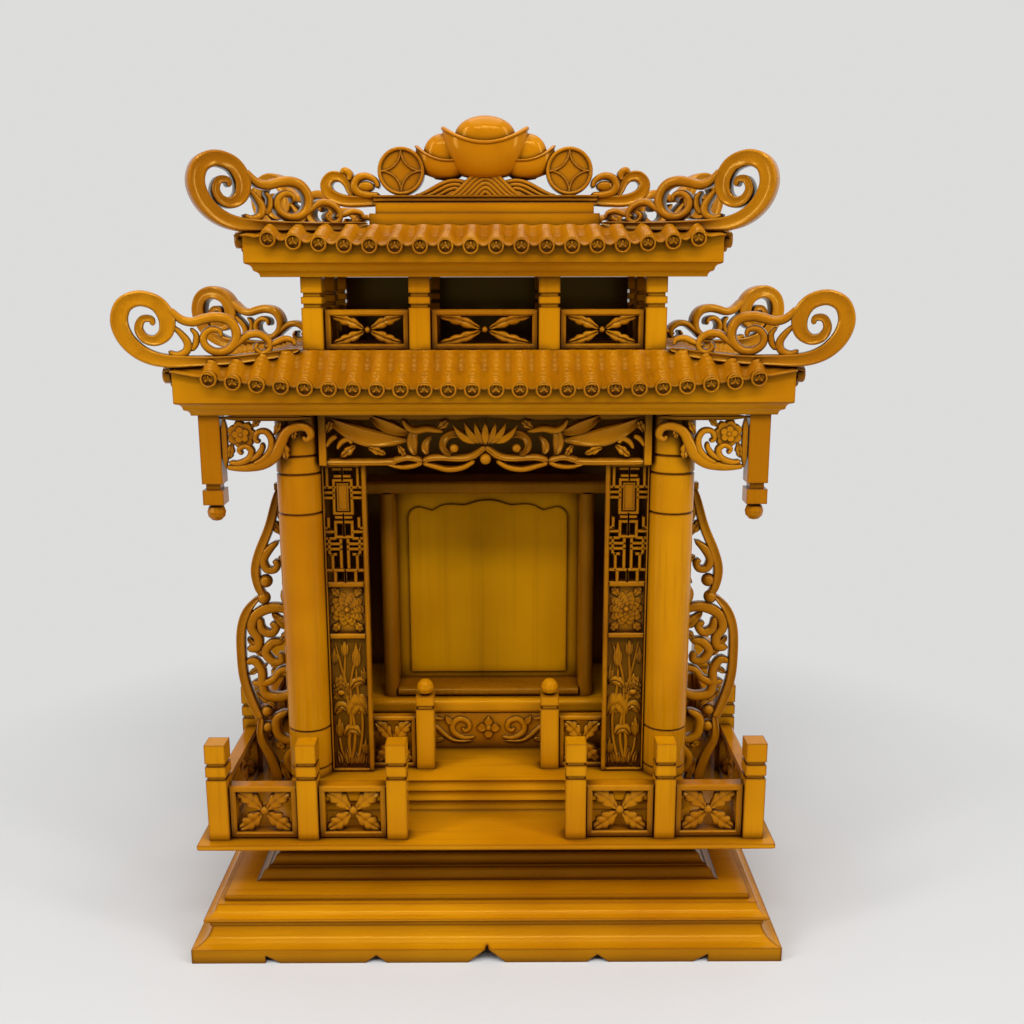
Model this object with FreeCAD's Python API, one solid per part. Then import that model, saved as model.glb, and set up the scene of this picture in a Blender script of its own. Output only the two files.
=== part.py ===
import FreeCAD, Part
import math
import os

V = FreeCAD.Vector

# Ancestral tablet shrine in carved and lacquered wood, modelled in millimetres.
# X runs along the front, the front looks towards -Y, Z is up.
# The origin is the middle of the footprint, on the surface that the shrine stands on.

# Stepped base
BASE_WIDTH = 480.0
BASE_DEPTH = 300.0
PLINTH_HEIGHT = 26.0
PLINTH_ROUND = 14.0
PLINTH_WALL = 20.0
FOOT_LENGTH = 60.0
NOTCH_WIDTH = 18.0
NOTCH_HEIGHT = 7.0
CENTRE_NOTCH_WIDTH = 31.0
CENTRE_NOTCH_HEIGHT = 13.0
STEP_INSET = 9.0
STEP_RECESS = 4.0
STEP_RECESS_HEIGHT = 4.0
STEP_THICKNESS = 12.5
STEP_ROUND = 9.0
STEP_LOWER_ROUND = 2.0
PANEL_INSET = 23.5
PANEL_RISE = 4.5
WAIST_INSET = 45.0
WAIST_HEIGHT = 48.4
WAIST_OGEE_HEIGHT = 8.0
WAIST_OGEE_RUN = 9.0
WAIST_DADO_RUN = 2.0
WAIST_FILLET_HEIGHT = 1.5

# Deck and its balustrade
DECK_INSET = 8.0
DECK_THICKNESS = 5.0
DECK_BEVEL = 1.5
POST_SIZE = 16.5
POST_HEIGHT = 82.3
POST_GROOVE_HEIGHT = 3.0
POST_GROOVE_DEPTH = 1.5
POST_CAP_HEIGHT = 15.7
POST_BLOCK_HEIGHT = 8.6
POST_FRONT_INSET = 17.0
POST_SIDE_INSET = 16.25
POST_PITCH = 71.9
POST_BAYS_FROM_CENTRE = 2
RAIL_HEIGHT = 45.6
RAIL_THICKNESS = 10.7
RAIL_FRAME = 5.5
FLOWER_THICKNESS = 6.0
FLOWER_BOSS = 5.2
FLOWER_LEAF_WIDTH = 11.0

# Raised floor, columns and the walls of the tablet room
PLATFORM_SIDE_INSET = 73.0
PLATFORM_FRONT = -83.4
PLATFORM_BACK = 83.0
PLATFORM_HEIGHT = 27.2
PLATFORM_BEAD = 2.5
COLUMN_RADIUS = 18.25
COLUMN_SIDE_INSET = 15.0
COLUMN_FRONT_INSET = 21.4
COLUMN_HEIGHT = 312.7
COLUMN_GROOVE_HEIGHT = 2.4
COLUMN_GROOVE_DEPTH = 1.6
COLUMN_GROOVE_LEVELS = (8.0, 43.0, 230.0, 263.0, 278.0)
WALL_THICKNESS = 8.0
WALL_SIDE_INSET = 2.0
WALL_FRONT_GAP = 20.0

# Carved screens beside the opening
SCREEN_THICKNESS = 8.0
SCREEN_WIDTH = 35.75
SCREEN_FRAME = 4.6
FRET_BAR = 2.9
FRET_TOP_RAIL = 8.0
FRET_HEIGHT = 98.0
MEDALLION_HEIGHT = 32.0
RELIEF_DEPTH = 3.0

# Small balustrade in front of the tablet
STUB_GAP = 44.5
STUB_SIZE = 15.6
STUB_SET_BACK = 0.7
STUB_HEIGHT = 66.4
STUB_GROOVE_HEIGHT = 3.5
STUB_CAP_HEIGHT = 8.0
STUB_FINIAL_RADIUS = 7.35
STUB_RAIL_HEIGHT = 47.4
STUB_RAIL_THICKNESS = 8.0

# Altar shelf and the tablet
SHELF_FRONT = -20.5
SHELF_APRON_HEIGHT = 34.0
SHELF_APRON_THICKNESS = 8.0
SHELF_THICKNESS = 13.2
SHELF_NOSE = 3.0
SHELF_NOSE_RADIUS = 4.5
TABLET_HALF_WIDTH = 94.0
TABLET_HEIGHT = 197.2
TABLET_FRAME_FRONT = -12.0
TABLET_FRAME_WIDTH = 13.0
TABLET_FRAME_ROUND = 6.0
TABLET_RAIL_ROUND = 3.5
TABLET_HEAD = 11.0
TABLET_HEAD_OVERRUN = 12.0
TABLET_SILL = 8.0
TABLET_FRAME_DEPTH = 30.0
TABLET_BOARD_THICKNESS = 7.0
TABLET_RELIEF = 2.0
TABLET_ARCH_MARGIN = 14.0

# Carved header, corner brackets and hanging pendants
# Petals are (angle, length, width); stems are their two widths and four poles in shares of reach and height.
HEADER_PETALS = ((62.0, 30.0, 9.0), (38.0, 38.0, 9.0), (12.0, 40.0, 9.0))
HEADER_CURL_RADIUS = 9.0
HEADER_CURL_PLACE = (0.36, 0.40)
HEADER_STEMS = (
    (4.0, 8.0, ((0.27, 0.70), (0.46, 0.33), (0.64, 0.33), (0.78, 0.93))),
    (7.0, 4.0, ((0.46, 0.42), (0.66, 0.05), (0.88, 0.28), (0.96, 0.79))),
    (5.0, 4.0, ((0.49, 0.14), (0.55, 0.51), (0.60, 0.70), (0.58, 0.98))),
)
HEADER_FORWARD = 13.0
HEADER_THICKNESS = 9.0
HEADER_DROP = 43.0
HEADER_RAIL = 5.0
HEADER_CENTRE_LIFT = 9.0
PENDANT_SIDE_INSET = 22.5
PENDANT_FRONT_INSET = 22.2
PENDANT_SIZE = 16.5
PENDANT_SHAFT = 55.3
PENDANT_NECK = 5.0
PENDANT_COLLAR = 12.0
PENDANT_BALL_RADIUS = 7.6
BRACKET_DROP = 44.0
BRACKET_THICKNESS = 7.0
BRACKET_FRAME = 5.0
BRACKET_CLEARANCE = 0.4
BRACKET_CURL = 11.0
BRACKET_LEAF = 22.0
WING_DROP = 64.3
WING_THICKNESS = 10.0
WING_SET_BACK = 2.0
WING_STRAP = 6.5
WING_BERRY = 6.0
# Poles of the wing's edge as shares of its reach and of its height, from the top down to the deck.
WING_EDGE = (
    ((0.377, 1.0), (0.47, 0.891), (0.76, 0.833), (0.745, 0.735), 5),
    ((0.745, 0.735), (0.745, 0.692), (0.64, 0.688), (0.67, 0.659), 3),
    ((0.67, 0.659), (0.958, 0.608), (1.02, 0.514), (1.011, 0.456), 5),
    ((1.011, 0.456), (1.0, 0.347), (0.806, 0.311), (0.79, 0.238), 5),
    ((0.79, 0.238), (0.776, 0.129), (0.608, 0.049), (0.532, 0.0), 5),
)
# Scrolls as (share of reach, share of height, share of reach for the radius, starting angle).
WING_SCROLLS = (
    (0.426, 0.811, 0.198, 60),
    (0.471, 0.717, 0.183, 240),
    (0.548, 0.594, 0.228, 60),
    (0.70, 0.492, 0.259, 330),
    (0.517, 0.390, 0.213, 200),
    (0.395, 0.289, 0.228, 60),
    (0.456, 0.180, 0.213, 240),
    (0.411, 0.086, 0.183, 60),
)
WING_STEMS = (
    ((0.061, 0.891), (0.395, 0.601), (0.0, 0.383), (0.335, 0.12)),
    ((0.152, 0.985), (0.335, 0.819), (0.122, 0.565), (0.517, 0.238)),
)

# Lower roof, upper storey and upper roof
EAVE_OVERHANG = 72.0
EAVE_FRONT_OVERHANG = 18.6
EAVE_MOULD_HEIGHT = 10.6
EAVE_MOULD_RUN = 10.0
EAVE_TOP_RISE = 23.7
EAVE_LIFT = 14.3
ROOF_SAG = 3.0
EAVE_SEGMENTS = 12
ROOF_RISE = 48.7
STOREY_SIDE_INSET = 96.4
STOREY_FRONT_INSET = 27.0
STOREY_HEIGHT = 56.7
STOREY_POST = 16.5
STOREY_INNER_POST_X = 50.7
STOREY_PANEL_HEIGHT = 31.7
STOREY_PANEL_THICKNESS = 8.0
STOREY_GROOVE_LEVELS = (34.7, 43.1)
UPPER_OVERHANG = 39.0
UPPER_FRONT_OVERHANG = 18.0
UPPER_EAVE_TOP_RISE = 24.8
UPPER_EAVE_LIFT = 8.5
UPPER_ROOF_RISE = 39.3

# Half-round cover tiles that run down both roofs
LOWER_TILE_ROWS = 24
LOWER_TILE_INSET = 30.0
LOWER_FLANK_ROWS = 11
LOWER_FLANK_INSET = 11.0
UPPER_TILE_ROWS = 18
UPPER_TILE_INSET = 20.6
UPPER_FLANK_ROWS = 9
UPPER_FLANK_INSET = 16.0
TILE_WIDTH_SHARE = 0.28
TILE_TOP_SHARE = 0.55
TILE_RISE_SHARE = 0.95
TILE_OVERHANG = 6.5
TILE_BED = 2.5
TILE_CLEARANCE = 0.4

# Ridge block and what stands on it
RIDGE_SIDE_INSET = 90.2
RIDGE_FRONT_INSET = 49.0
RIDGE_LOWER_HEIGHT = 9.7
RIDGE_UPPER_HEIGHT = 8.3
RIDGE_UPPER_INSET = 4.5
CREST_HALF_WIDTH = 134.5
CREST_THICKNESS = 16.0
CREST_STRIP_HEIGHT = 8.0
COIN_RADIUS = 18.0
COIN_X = 68.5
COIN_THICKNESS = 14.0
COIN_RIM = 2.4
INGOT_HALF_WIDTH = 35.0
INGOT_HEIGHT = 36.0
INGOT_DEPTH = 34.0
INGOT_SEAT = 21.4
INGOT_DOME_RISE = 13.0
INGOT_DOME_HALF_WIDTH = 22.0
SIDE_INGOT_X = 38.0
SIDE_INGOT_SCALE = 0.78
SIDE_INGOT_TILT = 7.0

# Corner volutes of both roofs, in the upright plane of the hip
VOLUTE_THICKNESS = 14.0
VOLUTE_FOOT = (2.0, 1.5)
VOLUTE_TIP = 3.5
LOWER_VOLUTE_REACH = 14.9
UPPER_VOLUTE_REACH = 12.3
VOLUTE_RADIUS = 23.5
VOLUTE_BAND = 10.0
SECOND_BACK = 52.5
SECOND_DROP = 4.5
SECOND_RADIUS = 12.6
THIRD_BACK = 79.5
THIRD_DROP = 14.0
THIRD_RADIUS = 8.6

# Levels that follow from the heights above
STEP_Z = PLINTH_HEIGHT
PANEL_TOP_Z = STEP_Z + STEP_RECESS_HEIGHT + STEP_THICKNESS + PANEL_RISE
DECK_Z = PANEL_TOP_Z + WAIST_HEIGHT
FLOOR_Z = DECK_Z + DECK_THICKNESS
ROOM_Z = FLOOR_Z + PLATFORM_HEIGHT
SHELF_Z = ROOM_Z + SHELF_APRON_HEIGHT
SHELF_TOP_Z = SHELF_Z + SHELF_THICKNESS
EAVE_Z = ROOM_Z + COLUMN_HEIGHT
EAVE_TOP_Z = EAVE_Z + EAVE_TOP_RISE
HEADER_Z = EAVE_Z - HEADER_DROP
WING_TOP = EAVE_Z - WING_DROP
STOREY_Z = EAVE_Z + ROOF_RISE
UPPER_EAVE_Z = STOREY_Z + STOREY_HEIGHT
RIDGE_Z = UPPER_EAVE_Z + UPPER_ROOF_RISE
CREST_Z = RIDGE_Z + RIDGE_LOWER_HEIGHT + RIDGE_UPPER_HEIGHT

# Places in plan that follow from the base, the raised floor and the overhangs
POST_LINE_X = BASE_WIDTH / 2 - DECK_INSET - POST_SIDE_INSET
POST_LINE_Y = BASE_DEPTH / 2 - DECK_INSET - POST_FRONT_INSET
PLATFORM_HALF_WIDTH = BASE_WIDTH / 2 - PLATFORM_SIDE_INSET
COLUMN_X = PLATFORM_HALF_WIDTH - COLUMN_SIDE_INSET
COLUMN_Y = PLATFORM_FRONT + COLUMN_FRONT_INSET
WALL_OUTER_X = COLUMN_X - WALL_SIDE_INSET
WALL_INNER_X = WALL_OUTER_X - WALL_THICKNESS
WALL_FRONT = COLUMN_Y + WALL_FRONT_GAP
WING_Y = WALL_FRONT + WING_SET_BACK
WING_REACH = POST_LINE_X - WALL_OUTER_X
SCREEN_OUTER_X = COLUMN_X - COLUMN_RADIUS
SCREEN_INNER_X = SCREEN_OUTER_X - SCREEN_WIDTH
SCREEN_FRONT = COLUMN_Y - SCREEN_THICKNESS / 2
STUB_X = SCREEN_INNER_X - STUB_GAP
STUB_FRONT = COLUMN_Y + STUB_SET_BACK
HEADER_FRONT = COLUMN_Y - HEADER_FORWARD
EAVE_HALF_WIDTH = PLATFORM_HALF_WIDTH + EAVE_OVERHANG
EAVE_HALF_DEPTH = EAVE_FRONT_OVERHANG - PLATFORM_FRONT
PENDANT_X = EAVE_HALF_WIDTH - PENDANT_SIDE_INSET
PENDANT_Y = PENDANT_FRONT_INSET - EAVE_HALF_DEPTH
STOREY_HALF_WIDTH = EAVE_HALF_WIDTH - STOREY_SIDE_INSET
STOREY_HALF_DEPTH = EAVE_HALF_DEPTH - STOREY_FRONT_INSET
UPPER_EAVE_HALF_WIDTH = STOREY_HALF_WIDTH + UPPER_OVERHANG
UPPER_EAVE_HALF_DEPTH = STOREY_HALF_DEPTH + UPPER_FRONT_OVERHANG
RIDGE_HALF_WIDTH = UPPER_EAVE_HALF_WIDTH - RIDGE_SIDE_INSET
RIDGE_HALF_DEPTH = UPPER_EAVE_HALF_DEPTH - RIDGE_FRONT_INSET


def box(x0, x1, y0, y1, z0, z1):
    """Upright box between two corners."""
    return Part.makeBox(x1 - x0, y1 - y0, z1 - z0, V(x0, y0, z0))


def fuse(shapes):
    """One solid from pieces that touch or overlap."""
    first = shapes[0]
    if len(shapes) == 1:
        return first
    return first.multiFuse(shapes[1:]).removeSplitter()


def mirror_x(shape):
    return shape.mirror(V(0, 0, 0), V(1, 0, 0))


def mirror_y(shape):
    return shape.mirror(V(0, 0, 0), V(0, 1, 0))


def both_sides(shape):
    """A shape and its twin across the middle of the shrine."""
    return [shape, mirror_x(shape)]


def export(node, shapes):
    """Write one named piece; several solids of one kind share its file."""
    solids = []
    for shape in shapes:
        solids.extend(shape.Solids)
    whole = solids[0] if len(solids) == 1 else Part.makeCompound(solids)
    whole.exportStep("parts/" + node + ".step")


def face_of(points):
    """Flat face in the XZ plane from (x, z) corners."""
    corners = [V(x, 0, z) for x, z in points]
    corners.append(corners[0])
    return Part.Face(Part.makePolygon(corners))


def rectangle(x0, x1, z0, z1):
    return face_of([(x0, z0), (x1, z0), (x1, z1), (x0, z1)])


def disc(x, z, radius, sides=16):
    """Few-sided disc in the XZ plane."""
    turn = 2 * math.pi / sides
    return face_of([(x + radius * math.cos(turn * i), z + radius * math.sin(turn * i)) for i in range(sides)])


def board(faces, y0, thickness, holes=()):
    """Board sawn from flat shapes: their union, less the holes, given a thickness along Y."""
    solid = fuse([face.extrude(V(0, thickness, 0)) for face in faces])
    if holes:
        solid = solid.cut([hole.extrude(V(0, thickness, 0)) for hole in holes])
    solid.translate(V(0, y0, 0))
    return solid


def strap(points, start_width, end_width):
    """Band along a row of (x, z) points, its width changing evenly from one end to the other."""
    left = []
    right = []
    last = len(points) - 1
    for i, (x, z) in enumerate(points):
        before = points[max(i - 1, 0)]
        after = points[min(i + 1, last)]
        run = after[0] - before[0]
        rise = after[1] - before[1]
        length = math.hypot(run, rise)
        half = (start_width + (end_width - start_width) * i / last) / 2
        left.append((x - half * rise / length, z + half * run / length))
        right.append((x + half * rise / length, z - half * run / length))
    return face_of(left + right[::-1])


def spiral(centre, start_radius, end_radius, start_deg, end_deg, steps, easing=1.0):
    """Points of a spiral whose radius eases from start to end as it turns."""
    points = []
    for i in range(steps + 1):
        share = i / steps
        radius = start_radius + (end_radius - start_radius) * share ** easing
        angle = math.radians(start_deg + (end_deg - start_deg) * share)
        points.append((centre[0] + radius * math.cos(angle), centre[1] + radius * math.sin(angle)))
    return points


def bezier(p0, p1, p2, p3, steps):
    """Points of a cubic curve that leaves p0 towards p1 and reaches p3 from p2."""
    points = []
    for i in range(steps + 1):
        t = i / steps
        s = 1 - t
        weights = (s ** 3, 3 * s * s * t, 3 * s * t * t, t ** 3)
        x = sum(w * p[0] for w, p in zip(weights, (p0, p1, p2, p3)))
        z = sum(w * p[1] for w, p in zip(weights, (p0, p1, p2, p3)))
        points.append((x, z))
    return points


def leaf(x, z, length, width, angle_deg, steps=4):
    """Pointed leaf from a root at (x, z): both edges are sine curves along its axis."""
    upper = []
    lower = []
    for i in range(steps + 1):
        share = i / steps
        half = width / 2 * math.sin(math.pi * share ** 0.8)
        upper.append((length * share, half))
        lower.append((length * share, -half))
    outline = upper + lower[-2:0:-1]
    turn = math.radians(angle_deg)
    turned = []
    for a, b in outline:
        turned.append((x + a * math.cos(turn) - b * math.sin(turn), z + a * math.sin(turn) + b * math.cos(turn)))
    return face_of(turned)


def profile_edges(points):
    """Edges of a profile of (inset, z, bulge); a bulge other than 0 bends the edge that ends there."""
    edges = []
    for (x0, z0, _), (x1, z1, bulge) in zip(points, points[1:]):
        start = V(x0, 0, z0)
        end = V(x1, 0, z1)
        if bulge == 0:
            edges.append(Part.LineSegment(start, end).toShape())
            continue
        across = V(z1 - z0, 0, x0 - x1)
        middle = (start + end) * 0.5 + across * bulge
        edges.append(Part.Arc(start, middle, end).toShape())
    return edges


def moulded_prism(half_width, half_length, profile):
    """Bar along Y whose two flanks carry a moulding profile of (inset, z, bulge)."""
    right = [(half_width - inset, z, -bulge) for inset, z, bulge in profile]
    edges = profile_edges(right)
    left = []
    for edge in edges:
        left.append(edge.mirror(V(0, 0, 0), V(1, 0, 0)))
    bottom = Part.LineSegment(V(-right[0][0], 0, right[0][1]), V(right[0][0], 0, right[0][1])).toShape()
    top = Part.LineSegment(V(-right[-1][0], 0, right[-1][1]), V(right[-1][0], 0, right[-1][1])).toShape()
    wire = Part.Wire(Part.__sortEdges__(edges + left + [bottom, top]))
    solid = Part.Face(wire).extrude(V(0, 2 * half_length, 0))
    solid.translate(V(0, -half_length, 0))
    return solid


def moulded_block(half_width, half_depth, profile):
    """Block with the same moulding on all four sides, mitred at the corners."""
    along = moulded_prism(half_width, half_depth, profile)
    across = moulded_prism(half_depth, half_width, profile)
    across.rotate(V(0, 0, 0), V(0, 0, 1), 90)
    return along.common(across)


def grooved_post(x, y, z, size, height, grooves, depth):
    """Square post with shallow grooves sawn round it at (level, height) above its foot."""
    half = size / 2
    core = half - depth
    pieces = []
    level = z
    for groove, groove_height in grooves:
        low = z + groove - groove_height / 2
        pieces.append(box(x - half, x + half, y - half, y + half, level, low))
        pieces.append(box(x - core, x + core, y - core, y + core, low, low + groove_height))
        level = low + groove_height
    pieces.append(box(x - half, x + half, y - half, y + half, level, z + height))
    return fuse(pieces)


def lathe(x, y, profile, turned_from):
    """Turned piece about an upright axis from (radius, z) points."""
    points = [V(radius, 0, z) for radius, z in profile]
    wire = Part.makePolygon([V(0, 0, profile[0][1])] + points + [V(0, 0, profile[-1][1]), V(0, 0, profile[0][1])])
    solid = Part.Face(wire).revolve(V(0, 0, 0), V(0, 0, 1), 360)
    solid.translate(V(x, y, turned_from))
    return solid


def skin(rings):
    """Closed solid with flat faces between rings of points; each side is split into two triangles."""
    faces = [
        Part.Face(Part.makePolygon(rings[0] + rings[0][:1])),
        Part.Face(Part.makePolygon(rings[-1] + rings[-1][:1])),
    ]
    count = len(rings[0])
    for low, high in zip(rings, rings[1:]):
        for i in range(count):
            j = (i + 1) % count
            faces.append(Part.Face(Part.makePolygon([low[i], low[j], high[j], low[i]])))
            faces.append(Part.Face(Part.makePolygon([low[i], high[j], high[i], low[i]])))
    shell = Part.Shell(faces)
    shell.sewShape()
    solid = Part.Solid(shell)
    if solid.Volume < 0:
        solid.reverse()
    return solid


def ellipse_ring(x, y, z, half_width, half_depth, sides):
    """Level ring of points round (x, y, z)."""
    points = []
    for i in range(sides):
        angle = 2 * math.pi * i / sides
        points.append(V(x + half_width * math.cos(angle), y + half_depth * math.sin(angle), z))
    return points


def carved_ball(x, y, seat_z, radius, upwards=1, sides=12, steps=5, cut_deg=25.0):
    """Ball carved with flat facets and cut flat where it sits, above or below its seat."""
    rings = []
    offset = radius * math.cos(math.radians(cut_deg))
    for i in range(steps + 1):
        angle = math.radians(-90 + cut_deg + (178 - cut_deg) * i / steps)
        ring_radius = radius * math.cos(angle)
        z = seat_z + upwards * (offset + radius * math.sin(angle))
        rings.append(ellipse_ring(x, y, z, ring_radius, ring_radius, sides))
    return skin(rings)


def plinth_notches(half_length):
    """Faces sawn from the foot of a plinth board: one in the middle, two small, and a step at each foot."""
    top = CENTRE_NOTCH_HEIGHT
    side = half_length - FOOT_LENGTH
    faces = [face_of([(-CENTRE_NOTCH_WIDTH / 2, 0), (CENTRE_NOTCH_WIDTH / 2, 0), (0, top)])]
    for sign in (-1, 1):
        middle = sign * side / 2
        half = NOTCH_WIDTH / 2
        faces.append(face_of([(middle - half, 0), (middle + half, 0), (middle, NOTCH_HEIGHT)]))
        edge = sign * side
        inner = sign * (side - NOTCH_WIDTH * 0.7)
        faces.append(face_of([(edge, 0), (inner, 0), (edge, NOTCH_HEIGHT)]))
    return faces


def mitre_region(half_width, half_depth, height, side):
    """Ground that one mitred board of a rectangular frame may fill: front, right, back or left."""
    corners = [(-half_width, -half_depth), (half_width, -half_depth), (half_width, half_depth), (-half_width, half_depth)]
    inner = half_width - half_depth
    meeting = [(-inner, 0), (inner, 0), (inner, 0), (-inner, 0)]
    first = side
    second = (side + 1) % 4
    outline = [corners[first], corners[second], meeting[second]]
    if meeting[first] != meeting[second]:
        outline.append(meeting[first])
    points = [V(x, y, 0) for x, y in outline]
    return Part.Face(Part.makePolygon(points + points[:1])).extrude(V(0, 0, height))


def base_plinth():
    """Lowest tier: four mitred boards with a round upper edge and a notched foot."""
    half_width = BASE_WIDTH / 2
    half_depth = BASE_DEPTH / 2
    profile = [(0, 0, 0), (0, PLINTH_HEIGHT - PLINTH_ROUND, 0), (PLINTH_ROUND, PLINTH_HEIGHT, 0.207)]
    block = moulded_block(half_width, half_depth, profile)
    inner_x = half_width - PLINTH_WALL
    inner_y = half_depth - PLINTH_WALL
    cuts = [box(-inner_x, inner_x, -inner_y, inner_y, 0, PLINTH_HEIGHT)]
    for face in plinth_notches(half_width):
        cutter = face.extrude(V(0, BASE_DEPTH, 0))
        cutter.translate(V(0, -half_depth, 0))
        cuts.append(cutter)
    for face in plinth_notches(half_depth):
        cutter = face.extrude(V(0, BASE_WIDTH, 0))
        cutter.translate(V(0, -half_width, 0))
        cutter.rotate(V(0, 0, 0), V(0, 0, 1), 90)
        cuts.append(cutter)
    frame = block.cut(cuts)
    for side, name in enumerate(("front", "right", "back", "left")):
        export("base_plinth_" + name, [frame.common(mitre_region(half_width, half_depth, PLINTH_HEIGHT, side))])


def base_step():
    """Second tier: a recessed neck, a board with a round edge, and a thin raised panel."""
    half_width = BASE_WIDTH / 2 - STEP_INSET
    half_depth = BASE_DEPTH / 2 - STEP_INSET
    low = STEP_Z + STEP_RECESS_HEIGHT
    high = low + STEP_THICKNESS
    rise = PANEL_INSET - STEP_INSET
    profile = [
        (STEP_RECESS, STEP_Z, 0),
        (STEP_RECESS, low, 0),
        (STEP_LOWER_ROUND, low, 0),
        (0, low + STEP_LOWER_ROUND, 0.207),
        (0, high - STEP_ROUND, 0),
        (STEP_ROUND, high, 0.207),
        (rise, high, 0),
        (rise, high + PANEL_RISE, 0),
    ]
    return moulded_block(half_width, half_depth, profile)


def waist():
    """Drawn-in waist: two ogees below, a plain dado, the same two mirrored under the deck."""
    half_width = BASE_WIDTH / 2 - WAIST_INSET
    half_depth = BASE_DEPTH / 2 - WAIST_INSET
    lower = []
    inset = 0.0
    level = PANEL_TOP_Z
    lower.append((inset, level, 0))
    for _ in range(2):
        middle_inset = inset + WAIST_OGEE_RUN / 2
        middle_level = level + WAIST_OGEE_HEIGHT / 2
        inset = inset + WAIST_OGEE_RUN
        level = level + WAIST_OGEE_HEIGHT
        lower.append((middle_inset, middle_level, 0.16))
        lower.append((inset, level, -0.16))
        level = level + WAIST_FILLET_HEIGHT
        lower.append((inset, level, 0))
    inset = inset + WAIST_DADO_RUN
    lower.append((inset, level, 0))
    mirrored = []
    for index in range(len(lower) - 1, -1, -1):
        bend = lower[index + 1][2] if index + 1 < len(lower) else 0
        mirrored.append((lower[index][0], PANEL_TOP_Z + DECK_Z - lower[index][1], bend))
    return moulded_block(half_width, half_depth, lower + mirrored)


def deck_board():
    """Thin board that carries the balustrade, bevelled underneath."""
    half_width = BASE_WIDTH / 2 - DECK_INSET
    half_depth = BASE_DEPTH / 2 - DECK_INSET
    profile = [(DECK_BEVEL, DECK_Z, 0), (0, DECK_Z + DECK_BEVEL, 0), (0, FLOOR_Z, 0)]
    return moulded_block(half_width, half_depth, profile)


def rail_post(x, y):
    upper = POST_HEIGHT - POST_CAP_HEIGHT - POST_GROOVE_HEIGHT / 2
    lower = upper - POST_GROOVE_HEIGHT - POST_BLOCK_HEIGHT
    grooves = [(lower, POST_GROOVE_HEIGHT), (upper, POST_GROOVE_HEIGHT)]
    return grooved_post(x, y, FLOOR_Z, POST_SIZE, POST_HEIGHT, grooves, POST_GROOVE_DEPTH)


def flower_board(half_width, half_height, y0, thickness, frame, repeats=1):
    """Framed openwork: a flower with a round boss and four leaves that reach the corners of its cell."""
    inner_x = half_width - frame
    inner_z = half_height - frame
    outer = rectangle(-half_width, half_width, -half_height, half_height)
    hole = rectangle(-inner_x, inner_x, -inner_z, inner_z)
    border = board([outer], y0, thickness, [hole])
    cell = 2 * inner_x / repeats
    inset = (thickness - FLOWER_THICKNESS) / 2
    reach = math.hypot(cell / 2, inner_z) + frame / 2
    angle = math.degrees(math.atan2(inner_z, cell / 2))
    pieces = []
    for i in range(repeats):
        centre = -inner_x + cell * (i + 0.5)
        pieces.append(disc(centre, 0, FLOWER_BOSS, 8))
        for turn in (angle, 180 - angle, 180 + angle, -angle):
            pieces.append(leaf(centre, 0, reach, FLOWER_LEAF_WIDTH, turn))
    flowers = board(pieces, y0 + inset, FLOWER_THICKNESS)
    window = box(-half_width + frame / 4, half_width - frame / 4, y0, y0 + thickness,
                 -half_height + frame / 4, half_height - frame / 4)
    return fuse([border, flowers.common(window)])


def rail_panels(length, count, repeats):
    """Openwork panels for one run of equal bays between posts, centred on the origin."""
    pitch = length / count
    panels = []
    for i in range(count):
        half = (pitch - POST_SIZE) / 2
        panel = flower_board(half, RAIL_HEIGHT / 2, -RAIL_THICKNESS / 2, RAIL_THICKNESS, RAIL_FRAME, repeats)
        panel.translate(V(-length / 2 + pitch * (i + 0.5), 0, FLOOR_Z + RAIL_HEIGHT / 2))
        panels.append(panel)
    return panels


def moved(shapes, x, y, turn_deg=0.0):
    """Copies of shapes, turned about the upright axis and then shifted."""
    result = []
    for shape in shapes:
        copy = shape.copy()
        copy.rotate(V(0, 0, 0), V(0, 0, 1), turn_deg)
        copy.translate(V(x, y, 0))
        result.append(copy)
    return result


def balustrade():
    """Posts and openwork panels round the deck, open at the middle of the front."""
    step = POST_PITCH
    outer = POST_LINE_X
    inner = outer - POST_BAYS_FROM_CENTRE * step
    stations = [outer - step * i for i in range(POST_BAYS_FROM_CENTRE + 1)]
    front = []
    back = []
    for x in stations:
        front.extend(both_sides(rail_post(x, -POST_LINE_Y)))
        back.extend(both_sides(rail_post(x, POST_LINE_Y)))
    export("balustrade_posts_front", front)
    export("balustrade_posts_back", back)
    export("balustrade_posts_side", both_sides(rail_post(outer, 0)))
    run = rail_panels(outer - inner, POST_BAYS_FROM_CENTRE, 1)
    middle = (outer + inner) / 2
    export("balustrade_panels_front", moved(run, -middle, -POST_LINE_Y) + moved(run, middle, -POST_LINE_Y))
    side = rail_panels(2 * POST_LINE_Y, 2, 2)
    export("balustrade_panels_left", moved(side, -outer, 0, -90))
    export("balustrade_panels_right", moved(side, outer, 0, 90))
    centre = rail_panels(2 * inner, 1, 3)
    back_panels = moved(run, -middle, POST_LINE_Y, 180)
    back_panels.extend(moved(centre, 0, POST_LINE_Y, 180))
    back_panels.extend(moved(run, middle, POST_LINE_Y, 180))
    export("balustrade_panels_back", back_panels)


def platform():
    """Raised floor with three beads along its edge."""
    half_width = PLATFORM_HALF_WIDTH
    half_depth = (PLATFORM_BACK - PLATFORM_FRONT) / 2
    bead = PLATFORM_HEIGHT / 3
    profile = [(0, FLOOR_Z, 0)]
    for i in range(3):
        foot = FLOOR_Z + bead * i
        profile.append((PLATFORM_BEAD * 0.4, foot + bead * 0.25, 0))
        profile.append((0, foot + bead, 0.18))
    block = moulded_block(half_width, half_depth, profile)
    block.translate(V(0, (PLATFORM_BACK + PLATFORM_FRONT) / 2, 0))
    return block


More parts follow.
